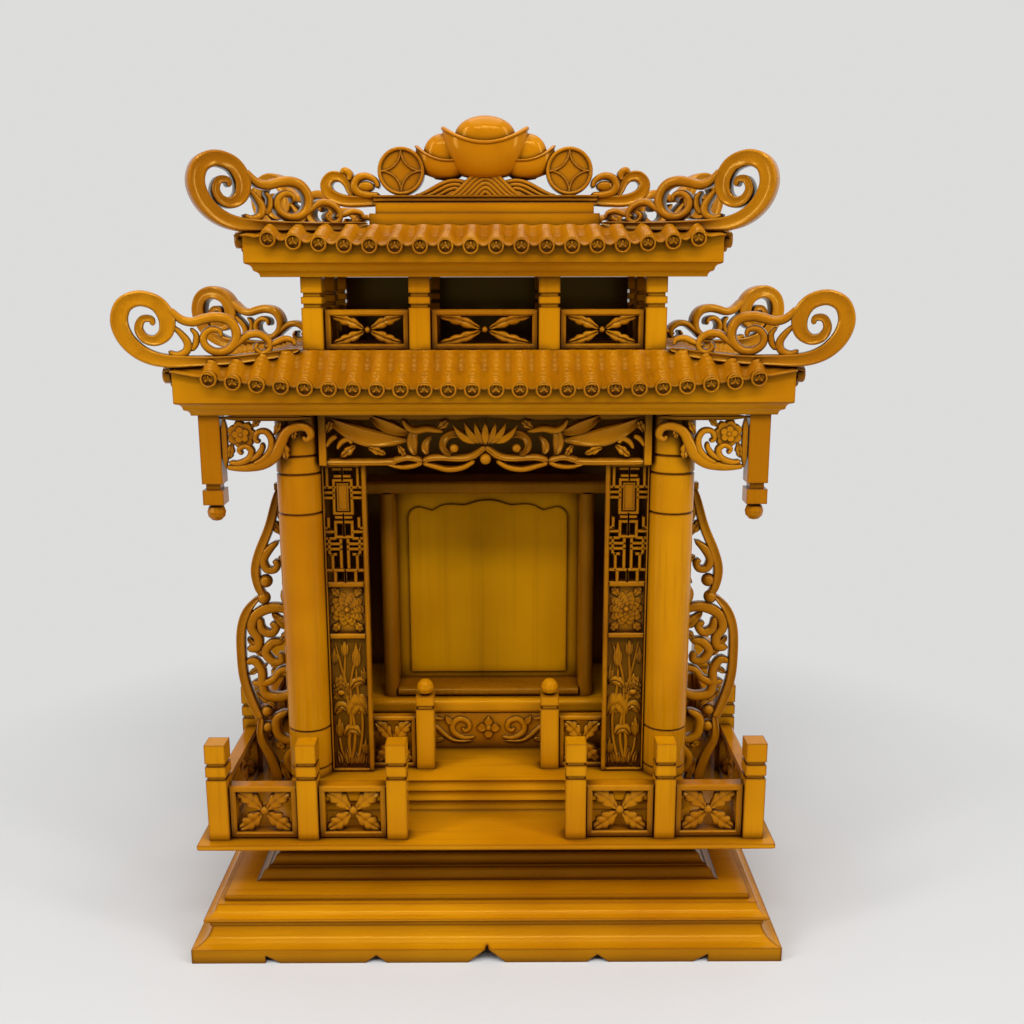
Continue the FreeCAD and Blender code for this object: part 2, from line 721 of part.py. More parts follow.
def column(x):
    """Round column with turned grooves near its foot and below its head."""
    groove_radius = COLUMN_RADIUS - COLUMN_GROOVE_DEPTH
    profile = [(COLUMN_RADIUS, 0)]
    for level in COLUMN_GROOVE_LEVELS:
        low = level - COLUMN_GROOVE_HEIGHT / 2
        high = level + COLUMN_GROOVE_HEIGHT / 2
        profile.append((COLUMN_RADIUS, low))
        profile.append((groove_radius, level))
        profile.append((COLUMN_RADIUS, high))
    profile.append((COLUMN_RADIUS, COLUMN_HEIGHT))
    return lathe(x, COLUMN_Y, profile, ROOM_Z)


def fret_bars(width, height):
    """Bars of a straight fret: a frame round a small cartouche, linked to the border by steps."""
    bar = FRET_BAR
    half = width / 2
    centre = height / 2
    bars = []

    def across(z, x0, x1):
        bars.append(rectangle(x0, x1, z - bar / 2, z + bar / 2))

    def upright(x, z0, z1):
        bars.append(rectangle(x - bar / 2, x + bar / 2, z0, z1))

    for part in (0.25, 0.75):
        middle = height * part
        reach = height * 0.11
        inner = width * 0.17
        for sign in (-1, 1):
            upright(sign * inner, middle - reach, middle + reach)
            across(middle + sign * reach, -inner - bar / 2, inner + bar / 2)
            across(middle + sign * reach * 0.35, inner, half)
            across(middle + sign * reach * 0.35, -half, -inner)
            across(middle + sign * reach * 1.62, -half * 0.62, half * 0.62)
            upright(half * 0.62, middle + sign * reach * 0.95, middle + sign * reach * 1.62)
            upright(-half * 0.62, middle + sign * reach * 0.95, middle + sign * reach * 1.62)
            upright(0, min(middle + sign * reach, middle + sign * height * 0.25),
                    max(middle + sign * reach, middle + sign * height * 0.25))
    across(centre, -half, half)
    return bars


def screen():
    """Right-hand carved screen: fretwork above, a square medallion, and a tall carved panel below."""
    x0 = SCREEN_INNER_X
    x1 = SCREEN_OUTER_X
    z0 = ROOM_Z
    z1 = HEADER_Z
    frame = SCREEN_FRAME
    width = x1 - x0 - 2 * frame
    fret_top = z1 - FRET_TOP_RAIL
    fret_foot = fret_top - FRET_HEIGHT
    medallion_top = fret_foot - frame
    medallion_foot = medallion_top - MEDALLION_HEIGHT
    relief_top = medallion_foot - frame
    outer = rectangle(x0, x1, z0, z1)
    fret_hole = rectangle(x0 + frame, x1 - frame, fret_foot, fret_top)
    bars = []
    for bar in fret_bars(width, FRET_HEIGHT):
        bar.translate(V((x0 + x1) / 2, 0, fret_foot))
        bars.append(bar)
    ring = outer.cut(fret_hole)
    solid = board([ring] + bars, SCREEN_FRONT, SCREEN_THICKNESS)
    pockets = [
        box(x0 + frame, x1 - frame, SCREEN_FRONT, SCREEN_FRONT + RELIEF_DEPTH, medallion_foot, medallion_top),
        box(x0 + frame, x1 - frame, SCREEN_FRONT, SCREEN_FRONT + RELIEF_DEPTH, z0 + frame, relief_top),
    ]
    carved = solid.cut(pockets)
    middle = (x0 + x1) / 2
    bloom = [disc(middle, (medallion_foot + medallion_top) / 2, MEDALLION_HEIGHT * 0.2, 10)]
    for i in range(6):
        bloom.append(leaf(middle, (medallion_foot + medallion_top) / 2, width * 0.5, MEDALLION_HEIGHT * 0.3, 60 * i))
    stems = lotus_relief(middle, z0 + frame, relief_top - z0 - frame, width)
    relief = board(bloom, SCREEN_FRONT + RELIEF_DEPTH * 0.25, RELIEF_DEPTH)
    plants = board(stems, SCREEN_FRONT + RELIEF_DEPTH * 0.25, RELIEF_DEPTH)
    return fuse([carved, relief, plants])


def lotus_relief(middle, foot, height, width):
    """Lotus of the tall panel: a bundle of stems, a large leaf, a bud and two flowers."""
    half = width / 2
    faces = []
    for lean, top in ((-0.55, 0.66), (0.0, 0.92), (0.5, 0.8)):
        stem = bezier((middle + lean * half * 0.2, foot), (middle - lean * half * 0.8, foot + height * 0.3),
                      (middle + lean * half * 1.3, foot + height * 0.55),
                      (middle + lean * half, foot + height * top), 6)
        faces.append(strap(stem, 2.6, 2.0))
    faces.append(disc(middle, foot + height * 0.3, half * 0.72, 12))
    faces.append(disc(middle - half * 0.35, foot + height * 0.62, half * 0.5, 10))
    for turn in (30, 60, 90, 120, 150):
        faces.append(leaf(middle, foot + height * 0.76, height * 0.14, half * 0.42, turn))
        faces.append(leaf(middle, foot + height * 0.06, height * 0.13, half * 0.45, turn))
    return faces


def inner_balustrade():
    """Two short posts with ball finials and the flower panels that tie them to the screens."""
    y = STUB_FRONT + STUB_SIZE / 2
    cap = STUB_HEIGHT - STUB_CAP_HEIGHT - STUB_GROOVE_HEIGHT / 2
    post = grooved_post(STUB_X, y, ROOM_Z, STUB_SIZE, STUB_HEIGHT, [(cap, STUB_GROOVE_HEIGHT)], POST_GROOVE_DEPTH)
    finial = carved_ball(STUB_X, y, ROOM_Z + STUB_HEIGHT, STUB_FINIAL_RADIUS)
    export("tablet_rail_posts", both_sides(fuse([post, finial])))
    x0 = STUB_X + STUB_SIZE / 2
    x1 = SCREEN_INNER_X + SCREEN_FRAME
    panel = flower_board((x1 - x0) / 2, STUB_RAIL_HEIGHT / 2, 0, STUB_RAIL_THICKNESS, RAIL_FRAME * 0.8)
    back = SCREEN_FRONT + SCREEN_THICKNESS
    panel.translate(V((x0 + x1) / 2, back, ROOM_Z + STUB_RAIL_HEIGHT / 2))
    export("tablet_rail_panels", both_sides(panel))


def shelf_scrolls():
    """Faces of the shelf apron's carving: a four-leaf flower between paired scrolls."""
    middle = SHELF_APRON_HEIGHT / 2
    faces = [disc(0, middle, 3.4, 10)]
    for turn in (0, 90, 180, 270):
        faces.append(leaf(0, middle, 10.5, 7.5, turn))
    for sign in (-1, 1):
        for centre, size in ((22, 7.5), (40, 6.5)):
            turn = spiral((0, 0), size, 2.0, 200, -160, 10)
            faces.append(strap([(sign * (centre + x), middle + z * (1 if centre < 30 else -1)) for x, z in turn], 2.6, 2.2))
        faces.append(leaf(sign * 46, middle, 16, 9, 90 - sign * 90))
    return faces


def altar_shelf():
    """Altar shelf: a carved apron and a top with a rounded nose."""
    reach = WALL_INNER_X
    apron = box(-reach, reach, SHELF_FRONT + SHELF_NOSE, SHELF_FRONT + SHELF_NOSE + SHELF_APRON_THICKNESS, ROOM_Z, SHELF_Z)
    carving = board(shelf_scrolls(), SHELF_FRONT + SHELF_NOSE - 1.6, 1.6)
    carving.translate(V(0, 0, ROOM_Z))
    export("altar_apron", [fuse([apron, carving])])
    top = box(-reach, reach, SHELF_FRONT, PLATFORM_BACK - WALL_THICKNESS, SHELF_Z, SHELF_TOP_Z)
    export("altar_shelf", [round_front(top, SHELF_FRONT, SHELF_NOSE_RADIUS)])


def arch_outline(half_width, foot, spring, crown):
    """Multi-foil arch: straight jambs, a quarter round, two shallow foils and an ogee crown."""
    rise = crown - spring
    shoulder = half_width * 0.86
    points = [(half_width, foot), (half_width, spring)]
    points.extend(spiral((shoulder, spring), half_width - shoulder, half_width - shoulder, 15, 90, 4))
    points.append((half_width * 0.70, spring + rise * 0.42))
    points.extend(bezier((half_width * 0.66, spring + rise * 0.50), (half_width * 0.56, spring + rise * 0.9),
                         (half_width * 0.42, spring + rise * 0.75), (half_width * 0.30, spring + rise * 0.72), 5))
    points.extend(bezier((half_width * 0.24, spring + rise * 0.78), (half_width * 0.12, spring + rise * 0.98),
                         (half_width * 0.06, spring + rise), (0, crown), 5))
    left = [(-x, z) for x, z in points[-2::-1]]
    return points + left


def round_front(bar, front, radius):
    """Bar whose two long front edges are rounded."""
    longest = max(bar.BoundBox.XLength, bar.BoundBox.ZLength)
    edges = []
    for edge in bar.Edges:
        bounds = edge.BoundBox
        if abs(bounds.YMax - front) < 0.01 and max(bounds.XLength, bounds.ZLength) > longest - 0.01:
            edges.append(edge)
    return bar.makeFillet(radius, edges)


def tablet():
    """Framed tablet that stands on the shelf: a deep moulded frame and a board with an arched relief."""
    z0 = SHELF_TOP_Z
    z1 = SHELF_TOP_Z + TABLET_HEIGHT
    outer = TABLET_HALF_WIDTH
    inner = outer - TABLET_FRAME_WIDTH
    back = TABLET_FRAME_FRONT + TABLET_FRAME_DEPTH
    head_reach = outer + TABLET_HEAD_OVERRUN
    stile = box(inner, outer, TABLET_FRAME_FRONT, back + TABLET_BOARD_THICKNESS, z0, z1 - TABLET_HEAD)
    export("tablet_stiles", both_sides(round_front(stile, TABLET_FRAME_FRONT, TABLET_FRAME_ROUND)))
    head = box(-head_reach, head_reach, TABLET_FRAME_FRONT, back + TABLET_BOARD_THICKNESS, z1 - TABLET_HEAD, z1)
    sill = box(-inner, inner, TABLET_FRAME_FRONT, back + TABLET_BOARD_THICKNESS, z0, z0 + TABLET_SILL)
    rails = [round_front(rail, TABLET_FRAME_FRONT, TABLET_RAIL_ROUND) for rail in (head, sill)]
    export("tablet_rails", rails)
    panel = box(-inner, inner, back, back + TABLET_BOARD_THICKNESS, z0 + TABLET_SILL, z1 - TABLET_HEAD)
    low = z0 + TABLET_SILL + TABLET_ARCH_MARGIN * 0.4
    crown = z1 - TABLET_HEAD - TABLET_ARCH_MARGIN * 0.8
    outline = arch_outline(inner - TABLET_ARCH_MARGIN * 0.7, low, crown - 16, crown)
    relief = board([face_of(outline)], back - TABLET_RELIEF, TABLET_RELIEF)
    export("tablet_board", [fuse([panel, relief])])


def room_walls():
    """Plain side and back boards that close the tablet room."""
    wall = box(WALL_INNER_X, WALL_OUTER_X, WALL_FRONT, PLATFORM_BACK, ROOM_Z, EAVE_Z)
    export("room_wall_right", [wall])
    export("room_wall_left", [mirror_x(wall)])
    back = box(-WALL_INNER_X, WALL_INNER_X, PLATFORM_BACK - WALL_THICKNESS, PLATFORM_BACK, ROOM_Z, EAVE_Z)
    export("room_wall_back", [back])


def header():
    """Carved header between the columns: leaf scrolls from a central lotus over a cusped lower edge."""
    reach = SCREEN_OUTER_X
    top = HEADER_DROP
    rail = HEADER_RAIL
    right = [(reach, 0), (reach * 0.59, 0)]
    right.extend(bezier((reach * 0.59, 0), (reach * 0.52, 0.5), (reach * 0.48, 4.5), (reach * 0.395, 1.5), 4)[1:])
    right.extend(bezier((reach * 0.395, 1.5), (reach * 0.3, 6), (reach * 0.15, 4), (0, HEADER_CENTRE_LIFT), 5)[1:])
    lower = right + [(-x, z) for x, z in right[-2::-1]]
    upper = [(x, z + rail) for x, z in lower[::-1]]
    faces = [face_of(lower + upper)]
    faces.append(rectangle(-reach, reach, top - rail, top))
    for sign in (-1, 1):
        faces.append(rectangle(sign * reach - rail / 2 - sign * rail / 2, sign * reach + rail / 2 - sign * rail / 2, 0, top))
        faces.extend(header_leaves(sign))
    faces.append(leaf(0, HEADER_CENTRE_LIFT, 27, 11, 90))
    carved = board(faces, HEADER_FRONT, HEADER_THICKNESS)
    carved.translate(V(0, 0, HEADER_Z))
    return carved


def header_leaves(sign):
    """Leaves and scrolls on one side of the header's lotus; long shapes are shares of the reach and the height."""
    reach = SCREEN_OUTER_X
    faces = []
    for turn, length, width in HEADER_PETALS:
        faces.append(leaf(0, HEADER_CENTRE_LIFT, length, width, 90 - sign * (90 - turn)))
    curl = spiral((0, 0), HEADER_CURL_RADIUS, HEADER_CURL_RADIUS / 3, 90, 400, 8)
    middle = reach * HEADER_CURL_PLACE[0]
    level = HEADER_DROP * HEADER_CURL_PLACE[1]
    faces.append(strap([(sign * (middle - x), level + z) for x, z in curl], 5, 3.5))
    for start_width, end_width, shares in HEADER_STEMS:
        poles = [(sign * reach * x, HEADER_DROP * z) for x, z in shares]
        faces.append(strap(bezier(*poles, 6), start_width, end_width))
    return faces


def pendant(x, y):
    """Square drop under the eaves that ends in a collar and a ball."""
    half = PENDANT_SIZE / 2
    neck = half - 2.5
    foot = EAVE_Z - PENDANT_SHAFT
    collar_top = foot - PENDANT_NECK
    collar_foot = collar_top - PENDANT_COLLAR
    pieces = [
        box(x - half, x + half, y - half, y + half, foot, EAVE_Z),
        box(x - neck, x + neck, y - neck, y + neck, collar_top, foot),
        box(x - half, x + half, y - half, y + half, collar_foot, collar_top),
    ]
    pieces.append(carved_ball(x, y, collar_foot, PENDANT_BALL_RADIUS, -1))
    return fuse(pieces)


def bracket():
    """Right-hand openwork bracket from the pendant, across the column's head, to the header.
    Its shapes are placed by shares of the span and of the drop, counted from the pendant's foot."""
    x1 = PENDANT_X - PENDANT_SIZE / 2
    x0 = SCREEN_OUTER_X
    span = x1 - x0
    foot = EAVE_Z - BRACKET_DROP
    frame = BRACKET_FRAME

    def at(across, up):
        return (x1 - span * across, foot + BRACKET_DROP * up)

    faces = [rectangle(x0, x1, EAVE_Z - frame, EAVE_Z), rectangle(x1 - frame, x1, foot, EAVE_Z)]
    lower = bezier(at(0, 0.06), at(0.32, -0.11), at(0.51, 0.5), at(0.68, 0.82), 7)
    faces.append(strap(lower, frame, frame * 0.8))
    faces.append(strap(spiral(at(0.84, 0.73), BRACKET_CURL * 0.8, BRACKET_CURL * 0.3, 110, -220, 8), frame, frame * 0.7))
    faces.append(strap(spiral(at(0.27, 0.39), BRACKET_CURL, BRACKET_CURL * 0.3, 250, -120, 9), frame, frame * 0.8))
    for turn in (75, 100, 125, 150):
        faces.append(leaf(*at(0.07, 0.5), BRACKET_LEAF, BRACKET_LEAF * 0.36, turn))
    faces.append(leaf(*at(0.40, 0.23), BRACKET_LEAF * 1.36, BRACKET_LEAF * 0.4, 75))
    faces.append(leaf(*at(0.51, 0.32), BRACKET_LEAF * 1.18, BRACKET_LEAF * 0.36, 110))
    faces.append(disc(*at(0.21, 0.75), BRACKET_LEAF * 0.3, 8))
    y0 = COLUMN_Y - COLUMN_RADIUS - BRACKET_CLEARANCE - BRACKET_THICKNESS
    return board(faces, y0, BRACKET_THICKNESS)


def wing_point(across, up):
    """Point of the right-hand wing from shares of its reach and height."""
    return (WALL_OUTER_X + WING_REACH * across, FLOOR_Z + (WING_TOP - FLOOR_Z) * up)


def wing_outline():
    """Outer edge of the right-hand wing from its top to the deck: two lobes between drawn-in waists."""
    points = [wing_point(*WING_EDGE[0][0])]
    for p0, p1, p2, p3, steps in WING_EDGE:
        points.extend(bezier(wing_point(*p0), wing_point(*p1), wing_point(*p2), wing_point(*p3), steps)[1:])
    return points


def wing():
    """Right-hand openwork wing behind the column, standing on the deck."""
    inner = WALL_OUTER_X
    edge = wing_outline()
    foot = PLATFORM_HALF_WIDTH
    faces = [strap(edge, WING_STRAP, WING_STRAP)]
    faces.append(rectangle(inner, inner + WING_STRAP, ROOM_Z, WING_TOP))
    faces.append(rectangle(foot, edge[-1][0], FLOOR_Z, FLOOR_Z + WING_STRAP))
    faces.append(rectangle(foot, foot + WING_STRAP * 0.7, FLOOR_Z, ROOM_Z + WING_STRAP))
    faces.append(rectangle(inner, foot + WING_STRAP * 0.7, ROOM_Z, ROOM_Z + WING_STRAP))
    faces.append(rectangle(inner, edge[0][0] + WING_STRAP / 2, WING_TOP - WING_STRAP, WING_TOP))
    for across, up, radius_share, start in WING_SCROLLS:
        radius = WING_REACH * radius_share
        turn = spiral(wing_point(across, up), radius, radius * 0.3, start, start + 400, 10)
        faces.append(strap(turn, WING_STRAP * 0.85, WING_STRAP * 0.7))
    for up in (0.659, 0.238):
        faces.append(disc(*wing_point(0.517, up), WING_BERRY, 8))
    for poles in WING_STEMS:
        faces.append(strap(bezier(*[wing_point(*pole) for pole in poles], 8), WING_STRAP * 0.9, WING_STRAP * 0.85))
    carved = board(faces, WING_Y, WING_THICKNESS)
    widest = inner + 2 * WING_REACH
    keep = fuse([
        box(inner, widest, WING_Y, WING_Y + WING_THICKNESS, ROOM_Z, WING_TOP),
        box(foot, widest, WING_Y, WING_Y + WING_THICKNESS, FLOOR_Z, ROOM_Z),
    ])
    return carved.common(keep)


def eave_board(half_width, half_depth, z):
    """Stepped moulding under an eave, widening upwards in two ogee steps."""
    step = EAVE_MOULD_RUN / 2
    height = EAVE_MOULD_HEIGHT / 2
    profile = [
        (2 * step, z, 0),
        (step * 1.3, z + height * 0.8, 0.2),
        (step * 1.1, z + height, 0),
        (step * 0.3, z + height * 1.8, 0.2),
        (0, z + 2 * height, 0),
    ]
    return moulded_block(half_width, half_depth, profile)


def eave_line(start, end, rise):
    """Points of an edge that dips below its two ends as the fourth power of the way out from its middle."""
    points = []
    for i in range(EAVE_SEGMENTS):
        share = i / EAVE_SEGMENTS
        dip = rise * (1 - (2 * share - 1) ** 4)
        point = start + (end - start) * share
        points.append(V(point.x, point.y, point.z - dip))
    return points


def hipped_roof(levels):
    """Closed roof from rings of (half width, half depth, corner height, dip of each side)."""
    rings = []
    for half_width, half_depth, corner_z, dip in levels:
        corners = [
            V(-half_width, -half_depth, corner_z),
            V(half_width, -half_depth, corner_z),
            V(half_width, half_depth, corner_z),
            V(-half_width, half_depth, corner_z),
        ]
        ring = []
        for i in range(4):
            ring.extend(eave_line(corners[i], corners[(i + 1) % 4], dip))
        rings.append(ring)
    return skin(rings)


def roof_levels(half_width, half_depth, z, eave_top, lift, top_half_width, top_half_depth, top_z):
    """Rings of one roof: foot and top of the fascia, the sagging middle of the slope, and its top."""
    middle_width = (half_width + top_half_width) / 2
    middle_depth = (half_depth + top_half_depth) / 2
    middle_z = (eave_top + lift + top_z) / 2 - ROOF_SAG
    return [
        (half_width, half_depth, z, 0),
        (half_width, half_depth, eave_top + lift, lift),
        (middle_width, middle_depth, middle_z, lift / 2),
        (top_half_width, top_half_depth, top_z, 0),
    ]


def slope_height(heights, out_share, up_share):
    """Height of a slope at a share of the way out from its middle and of the way up from its eave."""
    corner_z, lift, top_z = heights
    dip = 1 - out_share ** 4
    eave = corner_z - lift * dip
    middle = (corner_z + top_z) / 2 - ROOF_SAG - lift / 2 * dip
    if up_share < 0.5:
        return eave + (middle - eave) * 2 * up_share
    return middle + (top_z - middle) * (2 * up_share - 1)


def tile_ring(x, y, z, radius):
    """Section of a cover tile: a low ridge with sloping flanks, bedded a little below the roof's skin."""
    top = radius * TILE_TOP_SHARE
    rise = radius * TILE_RISE_SHARE
    return [V(x - radius, y, z - TILE_BED), V(x + radius, y, z - TILE_BED), V(x + top, y, z + rise), V(x - top, y, z + rise)]


def cover_row(x, radius, eave, top, heights):
    """One row of cover tiles on the slope that faces the front, from past its eave up to the top or the hip."""
    end = 1.0
    if abs(x) > top[0]:
        end = (eave[0] - abs(x)) / (eave[0] - top[0])
    shares = [0.0, end]
    if end > 0.5:
        shares.insert(1, 0.5)
    rings = [tile_ring(x, -eave[1] - TILE_OVERHANG, slope_height(heights, abs(x) / eave[0], 0) - 1.0, radius)]
    for share in shares:
        limit = eave[0] + (top[0] - eave[0]) * share
        depth = eave[1] + (top[1] - eave[1]) * share
        clear = TILE_CLEARANCE if share == 1.0 else 0.0
        rings.append(tile_ring(x, -depth - clear, slope_height(heights, min(abs(x) / limit, 1.0), share), radius))
    return skin(rings)


def tiled_slope(rows, inset, eave, top, heights):
    """All rows of the slope that faces the front; eave and top are (half length, distance from the middle)."""
    reach = eave[0] - inset
    pitch = 2 * reach / (rows - 1)
    radius = pitch * TILE_WIDTH_SHARE
    return [cover_row(pitch * i - reach, radius, eave, top, heights) for i in range(rows)]


def tiled_roof(roof, front, flank, eave, top, heights):
    """A roof with its rows of cover tiles, which stop at the four corner volutes and below the next storey."""
    slope = tiled_slope(front[0], front[1], eave, top, heights)
    side = moved(tiled_slope(flank[0], flank[1], (eave[1], eave[0]), (top[1], top[0]), heights), 0, 0, 90)
    rows = slope + [mirror_y(row) for row in slope] + side + [mirror_x(row) for row in side]
    length = math.hypot(eave[0], eave[1])
    half = VOLUTE_THICKNESS / 2 + TILE_CLEARANCE
    slab = box(0, length, -half, half, heights[0] - length, heights[2] + length)
    slab.rotate(V(0, 0, 0), V(0, 0, 1), -math.degrees(math.atan2(eave[1] - top[1], eave[0] - top[0])))
    slab.translate(V(top[0], -top[1], 0))
    slabs = both_sides(slab)
    slabs.extend([mirror_y(piece) for piece in slabs])
    sky = box(-length, length, -length, length, heights[2], heights[2] + length)
    return fuse([roof] + [row.cut(slabs + [sky]) for row in rows])


def lower_roof():
    export("lower_eave_moulding", [eave_board(EAVE_HALF_WIDTH, EAVE_HALF_DEPTH, EAVE_Z)])
    foot = EAVE_Z + EAVE_MOULD_HEIGHT
    levels = roof_levels(EAVE_HALF_WIDTH, EAVE_HALF_DEPTH, foot, EAVE_TOP_Z, EAVE_LIFT,
                         STOREY_HALF_WIDTH, STOREY_HALF_DEPTH, STOREY_Z)
    roof = hipped_roof(levels)
    corner_z = EAVE_TOP_Z + EAVE_LIFT
    tiled = tiled_roof(roof, (LOWER_TILE_ROWS, LOWER_TILE_INSET), (LOWER_FLANK_ROWS, LOWER_FLANK_INSET),
                       (EAVE_HALF_WIDTH, EAVE_HALF_DEPTH), (STOREY_HALF_WIDTH, STOREY_HALF_DEPTH),
                       (corner_z, EAVE_LIFT, STOREY_Z))
    export("lower_roof", [tiled])
    place_volutes("lower_volutes", STOREY_HALF_WIDTH, STOREY_HALF_DEPTH, EAVE_HALF_WIDTH, EAVE_HALF_DEPTH,
                  STOREY_Z, corner_z, LOWER_VOLUTE_REACH, roof)


def upper_roof():
    export("upper_eave_moulding", [eave_board(UPPER_EAVE_HALF_WIDTH, UPPER_EAVE_HALF_DEPTH, UPPER_EAVE_Z)])
    foot = UPPER_EAVE_Z + EAVE_MOULD_HEIGHT
    eave_top = UPPER_EAVE_Z + UPPER_EAVE_TOP_RISE
    corner_z = eave_top + UPPER_EAVE_LIFT
    levels = roof_levels(UPPER_EAVE_HALF_WIDTH, UPPER_EAVE_HALF_DEPTH, foot, eave_top, UPPER_EAVE_LIFT,
                         RIDGE_HALF_WIDTH, RIDGE_HALF_DEPTH, RIDGE_Z)
    roof = hipped_roof(levels)
    tiled = tiled_roof(roof, (UPPER_TILE_ROWS, UPPER_TILE_INSET), (UPPER_FLANK_ROWS, UPPER_FLANK_INSET),
                       (UPPER_EAVE_HALF_WIDTH, UPPER_EAVE_HALF_DEPTH), (RIDGE_HALF_WIDTH, RIDGE_HALF_DEPTH),
                       (corner_z, UPPER_EAVE_LIFT, RIDGE_Z))
    export("upper_roof", [tiled])
    place_volutes("upper_volutes", RIDGE_HALF_WIDTH, RIDGE_HALF_DEPTH, UPPER_EAVE_HALF_WIDTH,
                  UPPER_EAVE_HALF_DEPTH, RIDGE_Z, corner_z, UPPER_VOLUTE_REACH, roof)


def storey_post(x, y):
    grooves = [(level, POST_GROOVE_HEIGHT) for level in STOREY_GROOVE_LEVELS]
    return grooved_post(x, y, STOREY_Z, STOREY_POST, STOREY_HEIGHT, grooves, POST_GROOVE_DEPTH)


def storey_panel(x0, x1):
    """Parapet panel of the upper storey between two posts, in the XZ plane."""
    panel = flower_board((x1 - x0) / 2, STOREY_PANEL_HEIGHT / 2, -STOREY_PANEL_THICKNESS / 2,
                         STOREY_PANEL_THICKNESS, RAIL_FRAME)
    panel.translate(V((x0 + x1) / 2, 0, STOREY_Z + STOREY_PANEL_HEIGHT / 2))
    return panel


def upper_storey():
    """Open upper storey: posts on all sides with flower panels between their feet."""
    half = STOREY_POST / 2
    outer_x = STOREY_HALF_WIDTH - half
    outer_y = STOREY_HALF_DEPTH - half
    posts = both_sides(storey_post(outer_x, 0))
    for x in (outer_x, STOREY_INNER_POST_X):
        for y in (-outer_y, outer_y):
            posts.extend(both_sides(storey_post(x, y)))
    export("storey_posts", posts)
    side_bay = storey_panel(STOREY_INNER_POST_X + half, outer_x - half)
    middle_bay = storey_panel(-STOREY_INNER_POST_X + half, STOREY_INNER_POST_X - half)
    front = moved(both_sides(side_bay) + [middle_bay], 0, -outer_y)
    export("storey_panels_front", front)
    export("storey_panels_back", [mirror_y(panel) for panel in front])
    bay = storey_panel(half, outer_y - half)
    flank = both_sides(bay)
    export("storey_panels_side", moved(flank, outer_x, 0, 90) + moved(flank, -outer_x, 0, -90))


def corner_volute(drop, centre_x):
    """Corner ornament over a hip: a strap that runs out and rolls into a large volute, and two curls.
    It lies in its own upright plane, with X outward from the foot and Z up; drop is the hip's fall.
    The underside of the large volute rests on the corner of the hip."""
    centre_z = VOLUTE_RADIUS + VOLUTE_BAND / 2 - drop
    bottom = (centre_x, centre_z - VOLUTE_RADIUS)
    run = bezier(VOLUTE_FOOT, (centre_x * 0.3, -drop * 0.62), (centre_x * 0.64, bottom[1] - 1.0), bottom, 7)
    faces = [strap(run, VOLUTE_TIP, VOLUTE_BAND)]
    roll = spiral((centre_x, centre_z), VOLUTE_RADIUS, VOLUTE_BAND / 2, -90, 450, 24, 1.7)
    faces.append(strap(roll, VOLUTE_BAND, VOLUTE_BAND * 0.6))
    second = (centre_x - SECOND_BACK, centre_z - SECOND_DROP)
    third = (centre_x - THIRD_BACK, centre_z - THIRD_DROP)
    band = VOLUTE_BAND * 0.6
    neck = bezier((centre_x - VOLUTE_RADIUS * 0.85, centre_z + VOLUTE_RADIUS / 2),
                  (centre_x - VOLUTE_RADIUS * 1.15, centre_z - 2.0),
                  (second[0] + SECOND_RADIUS * 1.27, second[1] + SECOND_RADIUS * 0.8),
                  (second[0], second[1] + SECOND_RADIUS), 5)
    faces.append(strap(neck, band * 0.85, band))
    faces.append(strap(spiral(second, SECOND_RADIUS, SECOND_RADIUS * 0.36, 88, 450, 13, 1.6), band, band * 0.85))
    faces.append(strap(spiral(third, THIRD_RADIUS, THIRD_RADIUS * 0.4, 10, 330, 10, 1.6), band * 0.85, band * 0.67))
    loop = (centre_x - VOLUTE_RADIUS * 1.06, centre_z - VOLUTE_RADIUS * 0.64)
    faces.append(strap(spiral(loop, VOLUTE_RADIUS * 0.32, VOLUTE_RADIUS * 0.15, 150, -130, 7), band * 0.75, band * 0.67))
    return board(faces, -VOLUTE_THICKNESS / 2, VOLUTE_THICKNESS)


def place_volutes(name, foot_x, foot_y, corner_x, corner_y, foot_z, corner_z, reach, roof):
    """Seat a volute on each hip, cut to the roof that carries it; its centre stands past the corner by reach."""
    angle = math.degrees(math.atan2(corner_y - foot_y, corner_x - foot_x))
    hip = math.hypot(corner_x - foot_x, corner_y - foot_y)
    piece = corner_volute(foot_z - corner_z, hip + reach)
    piece.rotate(V(0, 0, 0), V(0, 0, 1), -angle)
    piece.translate(V(foot_x, -foot_y, foot_z))
    seated = piece.cut(roof)
    front = both_sides(largest(seated))
    export(name + "_front", front)
    export(name + "_back", [mirror_y(volute) for volute in front])


def largest(shape):
    solids = sorted(shape.Solids, key=lambda solid: solid.Volume)
    return solids[-1]


def ridge_base():
    """Stepped block along the top of the upper roof."""
    middle = RIDGE_Z + RIDGE_LOWER_HEIGHT
    lower = box(-RIDGE_HALF_WIDTH, RIDGE_HALF_WIDTH, -RIDGE_HALF_DEPTH, RIDGE_HALF_DEPTH, RIDGE_Z, middle)
    half_width = RIDGE_HALF_WIDTH - RIDGE_UPPER_INSET
    half_depth = RIDGE_HALF_DEPTH - RIDGE_UPPER_INSET
    upper = box(-half_width, half_width, -half_depth, half_depth, middle, CREST_Z)
    return fuse([lower, upper])


